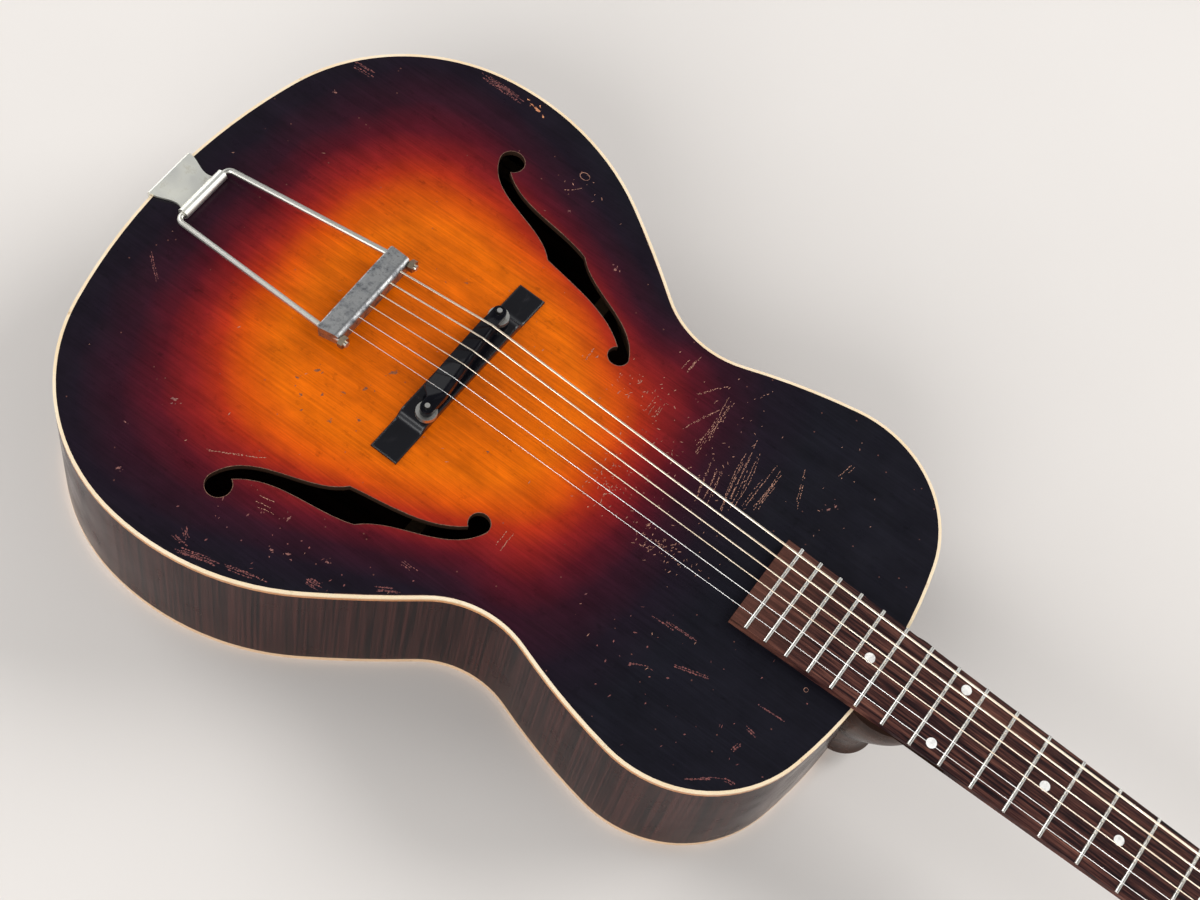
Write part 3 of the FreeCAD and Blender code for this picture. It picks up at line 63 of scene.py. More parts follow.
random.seed(1938)

# Sizes in metres, in the row's frame: +X to the head, +Y to the bass side, +Z out of the top.
# Strings, from the lowest to the highest, and their spread over saddle, nut and crossbar.
STRING_DIAMETERS = (0.00135, 0.00107, 0.00081, 0.00061, 0.00043, 0.00033)
SADDLE_SPREAD = 0.049
NUT_SPREAD = 0.0355
BAR_SPREAD = 0.0465
STRING_SEAT_GAP = 0.00012
STRING_OVER_BOARD = 0.0016
STRING_LAP = 0.0006
WOUND_STRINGS = 4
WRAP_PITCH = 0.00042
RUN_STEPS = 24

# Neck and head.
SCALE = 0.62865
JOIN_X = SCALE * 2 ** (-14 / 12)
NUT_X = SCALE - JOIN_X
BOARD_RADIUS = 0.4
BOARD_THICK = 0.0052
BOARD_TOP_AT_BODY = 0.0981
NUT_THICK = 0.005
NECK_TILT = Matrix.Rotation(math.radians(3.1), 4, "Y")
HEAD_TILT = Matrix.Rotation(math.radians(13), 4, "Y")
NECK = Matrix.Translation((JOIN_X, 0, BOARD_TOP_AT_BODY)) @ NECK_TILT
HEAD = NECK @ Matrix.Translation((NUT_X + NUT_THICK, 0, -BOARD_THICK)) @ HEAD_TILT

# Saddle and tailpiece.
HINGE = Vector((-0.179, 0, 0.0968))
SADDLE_SPAN = 0.066
SADDLE_FRONT_X = 0.0042
SADDLE_SLANT = 0.0048
RIDGE_SET_BACK = 0.0022
RIDGE_MIDDLE_X = 0.0044
RIDGE_Z = 0.1186
BALL_REACH = 0.1192

# Tuner posts and the windings on them.
POST_X = (0.045, 0.080, 0.115)
POST_Y = 0.0235
POST_WAIST_RADIUS = 0.0026
WIND_TURNS = 2
WIND_GAP = 0.0008
WIND_START_Z = 0.0059
WIND_STEPS = 18
BUTTON_START_Y = 0.0461

# Where paint changes: cream on the top binding, lower half of the rim, worn end of the fingerboard.
BINDING_CREAM_Z = (0.0910, 0.0918)
RIM_MIDDLE_Z = 0.05
WORN_BOARD_X = (0.205, 0.250)

# Bright middle of the sunburst. Each side's half width is a value and its slope along X.
BURST_MIDDLE_X = -0.013
BURST_HALF_LENGTH = 0.123
BURST_LOWER = (0.102, 0.27)
BURST_UPPER = (0.035, 0.68)
BURST_BLEND = 0.02
BURST_POWER = 2.5

# Nodes of bare wood inside the body.
INNER_NODES = ("linings", "tone_bars", "back_braces", "neck_block", "tail_block")

# Angles in degrees past which an edge stays sharp.
SHARP_EDGE = 40.0
SADDLE_SHARP_EDGE = 20.0
TUBE_SHARP_EDGE = 50

# Wear on the top, in plan. Broken scratches: start, end, how many side by side, spread across.
SCRATCH_ROWS = (
    ((0.164, 0.020), (0.153, 0.076), 9, 0.012),
    ((0.173, 0.032), (0.173, 0.068), 8, 0.009),
    ((0.150, 0.018), (0.143, 0.051), 6, 0.013),
    ((0.194, 0.049), (0.183, 0.081), 2, 0.002),
    ((0.130, 0.042), (0.126, 0.098), 4, 0.008),
    ((0.114, 0.044), (0.134, 0.094), 2, 0.001),
    ((0.111, 0.074), (0.124, 0.094), 2, 0.002),
    ((0.140, 0.096), (0.146, 0.109), 1, 0.001),
    ((0.098, 0.083), (0.098, 0.097), 4, 0.006),
    ((0.098, 0.044), (0.097, 0.059), 5, 0.009),
    ((0.203, 0.082), (0.206, 0.096), 2, 0.006),
    ((0.049, 0.049), (0.048, 0.062), 2, 0.004),
    ((0.079, -0.073), (0.079, -0.056), 3, 0.006),
    ((-0.082, -0.124), (-0.039, -0.100), 2, 0.001),
    ((-0.040, -0.127), (-0.025, -0.124), 4, 0.010),
    ((-0.026, 0.136), (-0.010, 0.153), 1, 0.001),
)
# Scuffs of the dark finish, in the same form.
SCUFF_ROWS = (
    ((0.166, -0.051), (0.193, -0.050), 3, 0.004),
    ((0.187, -0.069), (0.215, -0.060), 2, 0.003),
    ((0.169, -0.083), (0.182, -0.076), 2, 0.003),
    ((0.238, -0.057), (0.256, -0.056), 2, 0.002),
    ((0.239, -0.072), (0.247, -0.073), 2, 0.003),
    ((0.242, -0.087), (0.244, -0.078), 3, 0.005),
    ((0.229, -0.116), (0.247, -0.102), 3, 0.002),
    ((0.247, -0.102), (0.254, -0.101), 3, 0.002),
    ((-0.058, -0.162), (-0.051, -0.168), 4, 0.003),
    ((-0.060, -0.170), (-0.048, -0.171), 4, 0.003),
    ((-0.055, -0.176), (-0.030, -0.168), 5, 0.004),
    ((-0.028, -0.168), (-0.007, -0.162), 4, 0.004),
    ((0.010, -0.147), (0.019, -0.146), 6, 0.004),
    ((0.041, -0.129), (0.054, -0.121), 4, 0.003),
    ((0.043, -0.108), (0.054, -0.108), 3, 0.003),
    ((-0.111, 0.172), (-0.074, 0.172), 7, 0.005),
    ((-0.173, 0.128), (-0.155, 0.129), 6, 0.005),
    ((-0.180, -0.046), (-0.155, -0.066), 2, 0.004),
)
# Single flecks: middle, spread and count.
FLECK_GROUPS = (
    ((0.146, -0.017), (0.009, 0.004), 90),
    ((0.101, -0.006), (0.007, 0.008), 60),
    ((0.080, 0.057), (0.009, 0.006), 40),
    ((0.125, 0.000), (0.022, 0.010), 30),
    ((0.118, 0.056), (0.030, 0.024), 85),
    ((0.180, 0.060), (0.035, 0.035), 22),
    ((-0.020, 0.147), (0.010, 0.006), 9),
    ((0.000, 0.000), (0.100, 0.090), 60),
)
# Fainter flecks in the dark finish, in the same form.
DULL_FLECK_GROUPS = (
    ((0.190, -0.070), (0.040, 0.020), 40),
    ((0.000, -0.140), (0.070, 0.014), 40),
)
# Chips and stains: place, size and heading.
CHIPS = (
    ((-0.1095, -0.1086), 0.0015, 25), ((-0.106, -0.158), 0.0011, 60), ((-0.018, -0.1255), 0.0011, 80),
    ((-0.014, -0.145), 0.0010, 0), ((-0.006, -0.1415), 0.0011, 30), ((0.013, -0.1325), 0.0008, 0),
    ((-0.167, 0.105), 0.0009, 20), ((0.029, 0.112), 0.0012, 85), ((-0.014, 0.127), 0.0007, 40),
    ((0.208, 0.062), 0.0009, 60), ((0.210, 0.066), 0.0008, 90), ((-0.121, -0.135), 0.0006, 0),
)
BARE_CHIPS = (((-0.069, 0.1725), 0.0022, -8), ((-0.074, 0.1735), 0.0010, -8))
STAINS = (
    ((-0.027, -0.024), 0.0016, 40), ((-0.033, -0.041), 0.0012, 70), ((-0.024, -0.058), 0.0010, 20),
    ((-0.060, -0.048), 0.0013, 50), ((-0.058, -0.065), 0.0010, 10), ((0.042, -0.030), 0.0008, 30),
    ((-0.041, -0.050), 0.0009, 15), ((-0.049, -0.058), 0.0008, 75), ((-0.036, -0.068), 0.0010, 35),
    ((-0.052, -0.072), 0.0007, 60), ((-0.066, -0.058), 0.0009, 5), ((-0.030, 0.048), 0.0008, 25),
)
# Two round marks, then the sizes that all marks share.
SMALL_HOLE = (0.2544, -0.0343)
RING_MARK = (-0.0209, 0.1527)
MARK_LIFT = 0.00004
CHIP_CORNERS = 13
CHIP_LENGTH = 1.8
CHIP_WIDTH = 0.8
RING_STEPS = 14
STROKE_END = 0.25
DASH_LENGTH = (0.0004, 0.0018)
FLECK_LENGTH = (0.0003, 0.0022)
FLECK_HEADING = (75, 40)
ABOVE_TOP_Z = 0.2
SCRATCH_WIDTH = (0.00018, 0.00056)
SCUFF_WIDTH = (0.00018, 0.00110)
SCRATCH_GAP = 0.0006
SCUFF_GAP = 0.0003
BARE_RIM_WIDTH = (0.0002, 0.0004)
# Region of the f-holes: most X, least and most Y, on both sides.
HOLE_REGION = (0.08, 0.055, 0.145)

# Camera of the photograph.
CAMERA_PLACE = (0.2713, -0.5174, 1.1690)
CAMERA_RIGHT = (0.8113, 0.5673, 0.1411)
CAMERA_UP = (-0.5647, 0.6982, 0.4400)
CAMERA_LENS = 66.46
CAMERA_SENSOR = 36.0

# Lamps: where they shine from, width in degrees and strength.
LAMPS = {
    "key": ((1.20, 1.75, 1.25), 34, 2.15),
    "left_fill": ((-1.95, 0.10, 1.25), 40, 1.2),
    "near_fill": ((0.25, -1.90, 0.95), 46, 2.1),
}
# Light of the room: two heights on the sky, then the strength at each.
ROOM_LIGHT = (0.25, 0.80, 0.80, 0.28)
ROOM_COLOUR = (0.96, 0.98, 1.0, 1)
FLOOR_HALF = 60


class Paint:
    """A material and short calls that add nodes to it."""

    def __init__(self, name, **sockets):
        self.material = bpy.data.materials.new(name)
        self.material.use_nodes = True
        self.tree = self.material.node_tree
        self.shader = self.tree.nodes["Principled BSDF"]
        self.place = self.add("ShaderNodeTexCoord").outputs["Object"]
        for socket, value in sockets.items():
            self.shader.inputs[socket.replace("_", " ")].default_value = value

    def add(self, kind, links=(), **settings):
        node = self.tree.nodes.new(kind)
        for key, value in settings.items():
            setattr(node, key, value)
        for socket, value in links:
            if isinstance(value, bpy.types.NodeSocket):
                self.tree.links.new(value, node.inputs[socket])
            else:
                node.inputs[socket].default_value = value
        return node

    def math(self, operation, first, second=0.0, third=0.0):
        links = [(0, first), (1, second), (2, third)]
        return self.add("ShaderNodeMath", links, operation=operation).outputs[0]

    def axis(self, name):
        split = self.add("ShaderNodeSeparateXYZ", [(0, self.place)])
        return split.outputs[name]

    def noise(self, stretch, detail=3.0, rough=0.55):
        sides = [(0, self.place), (1, stretch)]
        scaled = self.add("ShaderNodeVectorMath", sides, operation="MULTIPLY").outputs[0]
        links = [("Vector", scaled), ("Scale", 1.0), ("Detail", detail), ("Roughness", rough)]
        return self.add("ShaderNodeTexNoise", links).outputs[0]

    def cells(self, scale):
        links = [("Vector", self.place), ("Scale", scale)]
        return self.add("ShaderNodeTexVoronoi", links)

    def ramp(self, factor, stops):
        node = self.add("ShaderNodeValToRGB", [(0, factor)])
        marks = node.color_ramp.elements
        for spare in list(marks)[2:]:
            marks.remove(spare)
        for index, (position, colour) in enumerate(stops):
            mark = marks[index] if index < 2 else marks.new(position)
            mark.position = position
            mark.color = (*colour, 1.0) if len(colour) == 3 else colour
        return node.outputs[0]

    def grey(self, factor, low, high, dark=0.0, light=1.0):
        links = [(0, factor), (1, low), (2, high), (3, dark), (4, light)]
        return self.add("ShaderNodeMapRange", links, clamp=True).outputs[0]

    def mix(self, factor, first, second, blend="MIX"):
        node = self.add("ShaderNodeMix", data_type="RGBA", blend_type=blend)
        for index, value in ((0, factor), (6, first), (7, second)):
            if isinstance(value, bpy.types.NodeSocket):
                self.tree.links.new(value, node.inputs[index])
            else:
                node.inputs[index].default_value = value if index == 0 else (*value, 1.0)
        return node.outputs[2]

    def link(self, socket, value):
        self.tree.links.new(value, self.shader.inputs[socket])

    def bump(self, height, strength, distance, edge=0.0):
        """Fine relief; with an edge radius, sharp corners also shade as if rounded."""
        links = [("Height", height), ("Strength", strength), ("Distance", distance)]
        if edge:
            rounded = self.add("ShaderNodeBevel", [("Radius", edge)], samples=6)
            links.append(("Normal", rounded.outputs[0]))
        self.link("Normal", self.add("ShaderNodeBump", links).outputs[0])


def burst_field(paint):
    """How far a place on the top is from the bright middle: 0 there, 1 in the red ring."""
    x = paint.axis("X")
    along = paint.math("DIVIDE", paint.math("ADD", x, -BURST_MIDDLE_X), BURST_HALF_LENGTH)
    lower = paint.math("SUBTRACT", BURST_LOWER[0], paint.math("MULTIPLY", x, BURST_LOWER[1]))
    upper = paint.math("ADD", BURST_UPPER[0], paint.math("MULTIPLY", x, BURST_UPPER[1]))
    reach = paint.math("SMOOTH_MAX", lower, upper, BURST_BLEND)
    across = paint.math("DIVIDE", paint.axis("Y"), reach)
    lengths = [paint.math("ABSOLUTE", value) for value in (along, across)]
    powers = [paint.math("POWER", length, BURST_POWER) for length in lengths]
    return paint.math("POWER", paint.math("ADD", *powers), 1 / BURST_POWER)


def sunburst():
    """Lacquered spruce: amber in the middle, red round it and near black at the edge."""
    paint = Paint("sunburst_spruce", Specular_IOR_Level=0.09)
    cloud = paint.math("MULTIPLY", paint.math("SUBTRACT", paint.noise((14, 22, 14), 4.0), 0.5), 0.12)
    field = paint.math("MULTIPLY", paint.math("ADD", burst_field(paint), cloud), 0.5)
    colour = paint.ramp(field, [
        (0.00, (0.610, 0.105, 0.002)), (0.33, (0.700, 0.130, 0.002)), (0.41, (0.560, 0.070, 0.003)),
        (0.455, (0.380, 0.026, 0.007)), (0.50, (0.220, 0.012, 0.011)), (0.56, (0.080, 0.006, 0.012)),
        (0.62, (0.029, 0.006, 0.013)), (0.70, (0.011, 0.0065, 0.0125)),
        (0.80, (0.0085, 0.008, 0.0125))])
    grain = paint.grey(paint.noise((14, 900, 14), 3.0, 0.65), 0.30, 0.70, 0.78, 1.12)
    blotch = paint.grey(paint.noise((40, 75, 40), 6.0, 0.62), 0.30, 0.68, 0.72, 1.08)
    dirt = paint.grey(paint.noise((110, 170, 110), 6.0, 0.72), 0.58, 0.74, 1.0, 0.60)
    tone = paint.math("MULTIPLY", paint.math("MULTIPLY", grain, blotch), dirt)
    tint = paint.add("ShaderNodeCombineXYZ", [(axis, tone) for axis in range(3)])
    colour = paint.mix(1.0, colour, tint.outputs[0], "MULTIPLY")
    speck = paint.cells(330)
    shade = paint.add("ShaderNodeSeparateColor", [(0, speck.outputs["Color"])]).outputs[0]
    rare = paint.math("GREATER_THAN", shade, 0.965)
    spot = paint.math("MULTIPLY", rare, paint.math("LESS_THAN", speck.outputs["Distance"], 0.15))
    colour = paint.mix(paint.math("MULTIPLY", spot, 0.6), colour, (0.16, 0.065, 0.050))
    normal = paint.add("ShaderNodeNewGeometry").outputs["Normal"]
    wall = paint.math("LESS_THAN", paint.add("ShaderNodeSeparateXYZ", [(0, normal)]).outputs["Z"], 0.5)
    colour = paint.mix(wall, colour, (0.030, 0.016, 0.010))
    paint.link("Base Color", colour)
    paint.link("Roughness", paint.grey(paint.noise((60, 60, 60), 5.0), 0.30, 0.75, 0.26, 0.38))
    paint.bump(paint.noise((40, 700, 40), 3.0), 0.06, 0.0002)
    return paint.material


def dark_wood(name, light, dark, stretch, rough):
    """Stained wood under gloss lacquer, with a faint figure."""
    paint = Paint(name, Specular_IOR_Level=0.085)
    figure = paint.noise(stretch, 4.0, 0.6)
    paint.link("Base Color", paint.mix(paint.grey(figure, 0.38, 0.64), dark, light))
    uneven = paint.noise((45, 45, 45), 4.0)
    paint.link("Roughness", paint.grey(uneven, 0.30, 0.75, rough - 0.08, rough + 0.10))
    paint.bump(figure, 0.16, 0.0002)
    return paint.material


def aged_binding():
    """Cream edge binding, yellowed unevenly, with a painted highlight on its upward faces."""
    paint = Paint("aged_binding", Subsurface_Weight=0.08, Coat_Weight=0.3, Coat_Roughness=0.15)
    cloud = paint.grey(paint.noise((26, 26, 26), 4.0), 0.32, 0.68)
    normal = paint.add("ShaderNodeNewGeometry").outputs["Normal"]
    highlight_facing = paint.add("ShaderNodeSeparateXYZ", [(0, normal)]).outputs["Z"]
    height = paint.axis("Z")
    back_edge = paint.math("MULTIPLY", paint.math("LESS_THAN", height, RIM_MIDDLE_Z), 0.55)
    cream = paint.math("MAXIMUM", paint.grey(height, *BINDING_CREAM_Z), back_edge)
    amber = paint.mix(cloud, (0.40, 0.140, 0.035), (0.54, 0.235, 0.080))
    side = paint.mix(cream, amber, (0.80, 0.60, 0.39))
    # Upward faces take a lighter cream than the sides. This is partly the binding's own two tones and
    # partly a painted highlight on its top face.
    top = paint.mix(cloud, (0.80, 0.60, 0.38), (0.86, 0.70, 0.50))
    colour = paint.mix(paint.grey(highlight_facing, 0.3, 0.7), side, top)
    dirt = paint.grey(paint.noise((150, 150, 60), 3.0), 0.64, 0.78)
    paint.link("Base Color", paint.mix(paint.math("MULTIPLY", dirt, 0.5), colour, (0.30, 0.14, 0.06)))
    paint.link("Roughness", paint.grey(paint.noise((90, 90, 90), 3.0), 0.3, 0.7, 0.25, 0.45))
    return paint.material


def rosewood():
    """Oiled fingerboard wood with dark streaks along its length and a lighter, worn end."""
    paint = Paint("rosewood_board", Specular_IOR_Level=0.08)
    streak = paint.noise((16, 540, 120), 6.0, 0.70)
    colour = paint.ramp(streak, [
        (0.36, (0.005, 0.003, 0.004)), (0.46, (0.022, 0.0085, 0.009)),
        (0.54, (0.066, 0.024, 0.019)), (0.68, (0.170, 0.068, 0.047))])
    worn = paint.grey(paint.axis("X"), *WORN_BOARD_X, 0.55, 0.0)
    colour = paint.mix(worn, colour, (0.120, 0.047, 0.032))
    pores = paint.noise((60, 1500, 300), 2.0)
    pore = paint.math("MULTIPLY", paint.grey(pores, 0.60, 0.70), 0.65)
    colour = paint.mix(pore, colour, (0.012, 0.008, 0.007))
    paint.link("Base Color", colour)
    paint.link("Roughness", paint.grey(streak, 0.3, 0.75, 0.36, 0.56))
    paint.bump(pores, 0.18, 0.0002)
    return paint.material


def metal(name, tone, dull, stain, scale, low, high, bump=0.04):
    """Worn metal: patches of a duller tone and of stain, with uneven gloss."""
    paint = Paint(name, Metallic=1.0)
    patch = paint.grey(paint.noise((scale, scale, scale), 5.0, 0.65), 0.40, 0.66)
    colour = paint.mix(patch, tone, dull)
    spots = paint.grey(paint.noise((scale * 4, scale * 4, scale * 4), 4.0, 0.7), 0.56, 0.70)
    colour = paint.mix(paint.math("MULTIPLY", spots, 0.6), colour, stain)
    paint.link("Base Color", colour)
    paint.link("Roughness", paint.grey(patch, 0.0, 1.0, low, high))
    paint.bump(paint.noise((scale * 6, scale * 6, scale * 6), 3.0, 0.7), bump, 0.0004)
    return paint.material


def black_lacquer(name, gloss):
    """Ebonised wood under lacquer, rubbed grey in places."""
    paint = Paint(name, Specular_IOR_Level=gloss)
    rub = paint.grey(paint.noise((160, 70, 160), 5.0, 0.65), 0.58, 0.80)
    paint.link("Base Color", paint.mix(rub, (0.004, 0.004, 0.006), (0.014, 0.013, 0.016)))
    paint.link("Roughness", paint.grey(rub, 0.0, 1.0, 0.16, 0.36))
    paint.bump(paint.noise((400, 90, 400), 3.0), 0.012, 0.0002, 0.0014)
    return paint.material


def pearl():
    """Inlay of pearl with soft clouds of colour."""
    paint = Paint("pearl_dot", Coat_Weight=0.5, Coat_Roughness=0.08)
    cloud = paint.noise((420, 260, 260), 3.0)
    paint.link("Base Color", paint.ramp(cloud, [
        (0.30, (0.62, 0.60, 0.58)), (0.50, (0.84, 0.83, 0.80)), (0.70, (0.92, 0.88, 0.84))]))
    paint.link("Roughness", paint.grey(cloud, 0.3, 0.7, 0.18, 0.32))
    return paint.material


def bone():
    """Yellowed bone."""
    paint = Paint("nut_bone", Subsurface_Weight=0.1)
    cloud = paint.noise((120, 300, 120), 4.0)
    paint.link("Base Color", paint.ramp(cloud, [(0.3, (0.62, 0.52, 0.36)), (0.7, (0.80, 0.72, 0.56))]))
    paint.link("Roughness", paint.grey(cloud, 0.3, 0.7, 0.32, 0.48))
    return paint.material


def bare_wood():
    """Unfinished wood inside the body."""
    paint = Paint("bare_inner_wood")
    grain = paint.noise((12, 240, 60), 4.0)
    paint.link("Base Color", paint.ramp(grain, [(0.3, (0.20, 0.12, 0.06)), (0.7, (0.36, 0.23, 0.12))]))
    paint.link("Roughness", paint.grey(grain, 0.3, 0.7, 0.65, 0.85))
    return paint.material


def tuner_shaft_paint():
    """Nickel on the worm and shaft, aged ivory on the moulded button."""
    paint = Paint("worm_and_button")
    out = paint.math("ABSOLUTE", paint.axis("Y"))
    button = paint.math("GREATER_THAN", out, BUTTON_START_Y)
    cloud = paint.grey(paint.noise((260, 260, 260), 4.0), 0.35, 0.68)
    steel = paint.mix(cloud, (0.62, 0.60, 0.56), (0.42, 0.40, 0.36))
    ivory = paint.mix(cloud, (0.78, 0.69, 0.50), (0.66, 0.54, 0.34))
    paint.link("Base Color", paint.mix(button, steel, ivory))
    paint.link("Metallic", paint.math("SUBTRACT", 1.0, button))
    paint.link("Roughness", paint.grey(cloud, 0.0, 1.0, 0.26, 0.44))
    return paint.material


def string_paint(name, tone, dull, wrap):
    """String metal; a wound string has fine wraps along its run."""
    paint = Paint(name, Metallic=1.0)
    stain = paint.grey(paint.noise((34, 34, 34), 4.0), 0.38, 0.66)
    paint.link("Base Color", paint.mix(stain, tone, dull))
    paint.link("Roughness", paint.grey(stain, 0.0, 1.0, 0.24, 0.42))
    if wrap:
        turn = paint.math("SINE", paint.math("MULTIPLY", paint.axis("X"), 2 * math.pi / wrap))
        paint.bump(turn, 0.05, 0.00006)
    return paint.material


def smooth(mesh, degrees):
    """Soft shading with sharp edges kept."""
    mesh.polygons.foreach_set("use_smooth", [True] * len(mesh.polygons))
    mesh.set_sharp_from_angle(angle=math.radians(degrees))


def dress():
    """Gives every solid of the frame its material."""
    dark_side = dark_wood("side_maple", (0.043, 0.0125, 0.0105), (0.007, 0.002, 0.0025),
                          (560, 560, 7), 0.22)
    back = dark_wood("back_maple", (0.070, 0.028, 0.019), (0.020, 0.010, 0.009), (9, 60, 9), 0.26)
    neck = dark_wood("neck_mahogany", (0.052, 0.025, 0.017), (0.018, 0.010, 0.008), (9, 120, 60), 0.28)
    facing = dark_wood("head_facing", (0.016, 0.014, 0.014), (0.008, 0.008, 0.009), (40, 160, 40), 0.24)
    nickel = metal("worn_nickel", (0.80, 0.78, 0.73), (0.64, 0.62, 0.57), (0.40, 0.36, 0.30),
                   60, 0.26, 0.40, 0.02)
    satin = metal("satin_nickel", (0.94, 0.93, 0.86), (0.86, 0.85, 0.76), (0.60, 0.56, 0.46),
                  40, 0.36, 0.48, 0.01)
    wire = metal("wire_nickel", (0.62, 0.61, 0.56), (0.56, 0.54, 0.49), (0.52, 0.49, 0.43),
                 14, 0.34, 0.42, 0.0)
    pitted = metal("pitted_nickel", (0.47, 0.47, 0.465), (0.12, 0.125, 0.135), (0.05, 0.036, 0.024),
                   190, 0.32, 0.52, 0.16)
    bronzed = metal("dull_bronze", (0.34, 0.27, 0.19), (0.20, 0.16, 0.12), (0.10, 0.08, 0.06),
                    200, 0.30, 0.48)
    bright = metal("fret_nickel", (0.82, 0.80, 0.75), (0.68, 0.66, 0.60), (0.44, 0.40, 0.33),
                   260, 0.20, 0.34)
    brass = metal("gear_brass", (0.60, 0.42, 0.16), (0.36, 0.24, 0.09), (0.16, 0.10, 0.05),
                  220, 0.28, 0.48)
    paints = {
        "top_plate": sunburst(), "back_plate": back, "bass_side": dark_side, "treble_side": dark_side,
        "neck": neck, "head_veneer": facing, "fingerboard": rosewood(),
        "frets": bright, "position_dots": pearl(),
        "nut": bone(), "bridge_base": black_lacquer("ebonised_base", 0.40), "string_ball_ends": brass,
        "bridge_saddle": black_lacquer("ebonised_saddle", 0.08), "tail_bar": pitted,
        "tail_bracket": satin, "bracket_screws": satin, "tail_yoke": wire, "tail_nuts": bronzed,
        "end_pin": black_lacquer("end_pin_black", 0.14),
    }
    binding = aged_binding()
    inner = bare_wood()
    shaft = tuner_shaft_paint()
    for name, solid in nodes.items():
        if name.endswith("binding"):
            paint = binding
        elif name in INNER_NODES:
            paint = inner
        elif name.startswith("tuner_gear"):
            paint = brass
        elif name.startswith("tuner_shaft"):
            paint = shaft
        else:
            paint = paints.get(name, nickel)
        solid.data.materials.clear()
        solid.data.materials.append(paint)
        smooth(solid.data, SADDLE_SHARP_EDGE if name == "bridge_saddle" else SHARP_EDGE)


def new_piece(name, mesh, paint, body):
    """A mesh in the row's frame that rides on a body."""
    piece = bpy.data.objects.new(name, mesh)
    bpy.context.scene.collection.objects.link(piece)
    mesh.materials.append(paint)
    if body:
        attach(piece, body)
    return piece


def tube(name, points, radius, sides=10):
    """A round mesh along a line of points, closed at both ends."""
    work = bmesh.new()
    rings = []
    side = None
    for index, point in enumerate(points):
        before = points[max(index - 1, 0)]
        after = points[min(index + 1, len(points) - 1)]
        way = (after - before).normalized()
        guide = side or way.orthogonal()
        side = (guide - way * guide.dot(way)).normalized()
        other = way.cross(side)
        angles = [2 * math.pi * step / sides for step in range(sides)]
        spokes = [side * math.cos(angle) + other * math.sin(angle) for angle in angles]
        rings.append([work.verts.new(point + spoke * radius) for spoke in spokes])
    for low, high in zip(rings, rings[1:]):
        for step in range(sides):
            nxt = (step + 1) % sides
            work.faces.new((low[step], low[nxt], high[nxt], high[step]))
    work.faces.new(list(reversed(rings[0])))
    work.faces.new(rings[-1])
    mesh = bpy.data.meshes.new(name)
    work.to_mesh(mesh)
    work.free()
    smooth(mesh, TUBE_SHARP_EDGE)
    return mesh


def crown(y):
    """Fall of the rounded fingerboard and saddle away from the centreline."""
    return BOARD_RADIUS - math.sqrt(BOARD_RADIUS ** 2 - y * y)


def across(index, spread):
    """Place of a string across the strings, from the bass side."""
    return spread / 2 - index * spread / (len(STRING_DIAMETERS) - 1)


def saddle_point(index):
    """Centre of a string over the slanted ridge of the saddle."""
    y = across(index, SADDLE_SPREAD)
    x = SADDLE_FRONT_X + (0.5 - y / SADDLE_SPAN) * SADDLE_SLANT - RIDGE_SET_BACK
    return Vector((x, y, RIDGE_Z - crown(y) + STRING_DIAMETERS[index] / 2 + STRING_SEAT_GAP))


def tail_point(index):
    """Where a string leaves its ball behind the front wall of the crossbar."""
    middle = RIDGE_Z + STRING_SEAT_GAP + sum(STRING_DIAMETERS) / len(STRING_DIAMETERS) / 2
    rise = Vector((RIDGE_MIDDLE_X, 0, middle)) - HINGE
    start = HINGE + rise.normalized() * BALL_REACH
    return Vector((start.x, across(index, BAR_SPREAD), start.z))


def wound_end(index, nut_point):
    """Points of a string from the nut to its post and round it, in the row's frame."""
    bass = index < len(POST_X)
    row = index if bass else len(STRING_DIAMETERS) - 1 - index
    place = Vector((POST_X[row], POST_Y if bass else -POST_Y, 0))
    turn = 1 if bass else -1
    diameter = STRING_DIAMETERS[index]
    radius = POST_WAIST_RADIUS + diameter / 2 + STRING_SEAT_GAP
    local = HEAD.inverted() @ nut_point
    away = Vector((local.x - place.x, local.y - place.y))
    bearing = math.atan2(away.y, away.x) + turn * math.acos(radius / away.length)
    points = []
    for step in range(WIND_TURNS * WIND_STEPS + 1):
        angle = bearing + turn * 2 * math.pi * step / WIND_STEPS
        rise = WIND_START_Z + (diameter + WIND_GAP) * step / WIND_STEPS
        around = Vector((radius * math.cos(angle), radius * math.sin(angle), rise))
        points.append(HEAD @ (place + around))
    return points


def strings():
    """Six strings, each a run behind the saddle and a run from the saddle to its winding."""
    wound = string_paint("string_wound", (0.86, 0.76, 0.62), (0.67, 0.55, 0.41), WRAP_PITCH)
    plain = string_paint("string_plain", (0.92, 0.91, 0.88), (0.78, 0.76, 0.72), 0)
    for index, diameter in enumerate(STRING_DIAMETERS):
        number = len(STRING_DIAMETERS) - index
        paint = wound if index < WOUND_STRINGS else plain
        saddle = saddle_point(index)
        y = across(index, NUT_SPREAD)
        nut = NECK @ Vector((NUT_X, y, STRING_OVER_BOARD - crown(y) + diameter / 2))
        ball = tail_point(index)
        inside = saddle + (saddle - ball).normalized() * STRING_LAP
        tail = tube(f"string_{number}_tail_run", [ball, inside], diameter / 2)
        behind = new_piece(f"string_{number}_tail_run", tail, paint, "tailpiece")
        run = [saddle + (nut - saddle) * (step / RUN_STEPS) for step in range(RUN_STEPS + 1)]
        long = tube(f"string_{number}_run", run + wound_end(index, nut), diameter / 2)
        ahead = new_piece(f"string_{number}_run", long, paint, None)
        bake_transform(ahead)
        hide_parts(f"string_{number}")
        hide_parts(f"string_{number}")


def top_height():
    """A call that gives the height of the top at a place in plan, or nothing off its edge."""
    mesh = nodes["top_plate"].data
    tree = BVHTree.FromPolygons([v.co for v in mesh.vertices], [p.vertices for p in mesh.polygons])

    def height(x, y):
        hit = tree.ray_cast(Vector((x, y, ABOVE_TOP_Z)), Vector((0, 0, -1)))
        return hit[0].z if hit[0] is not None and hit[1].z > 0.7 else None

    return height


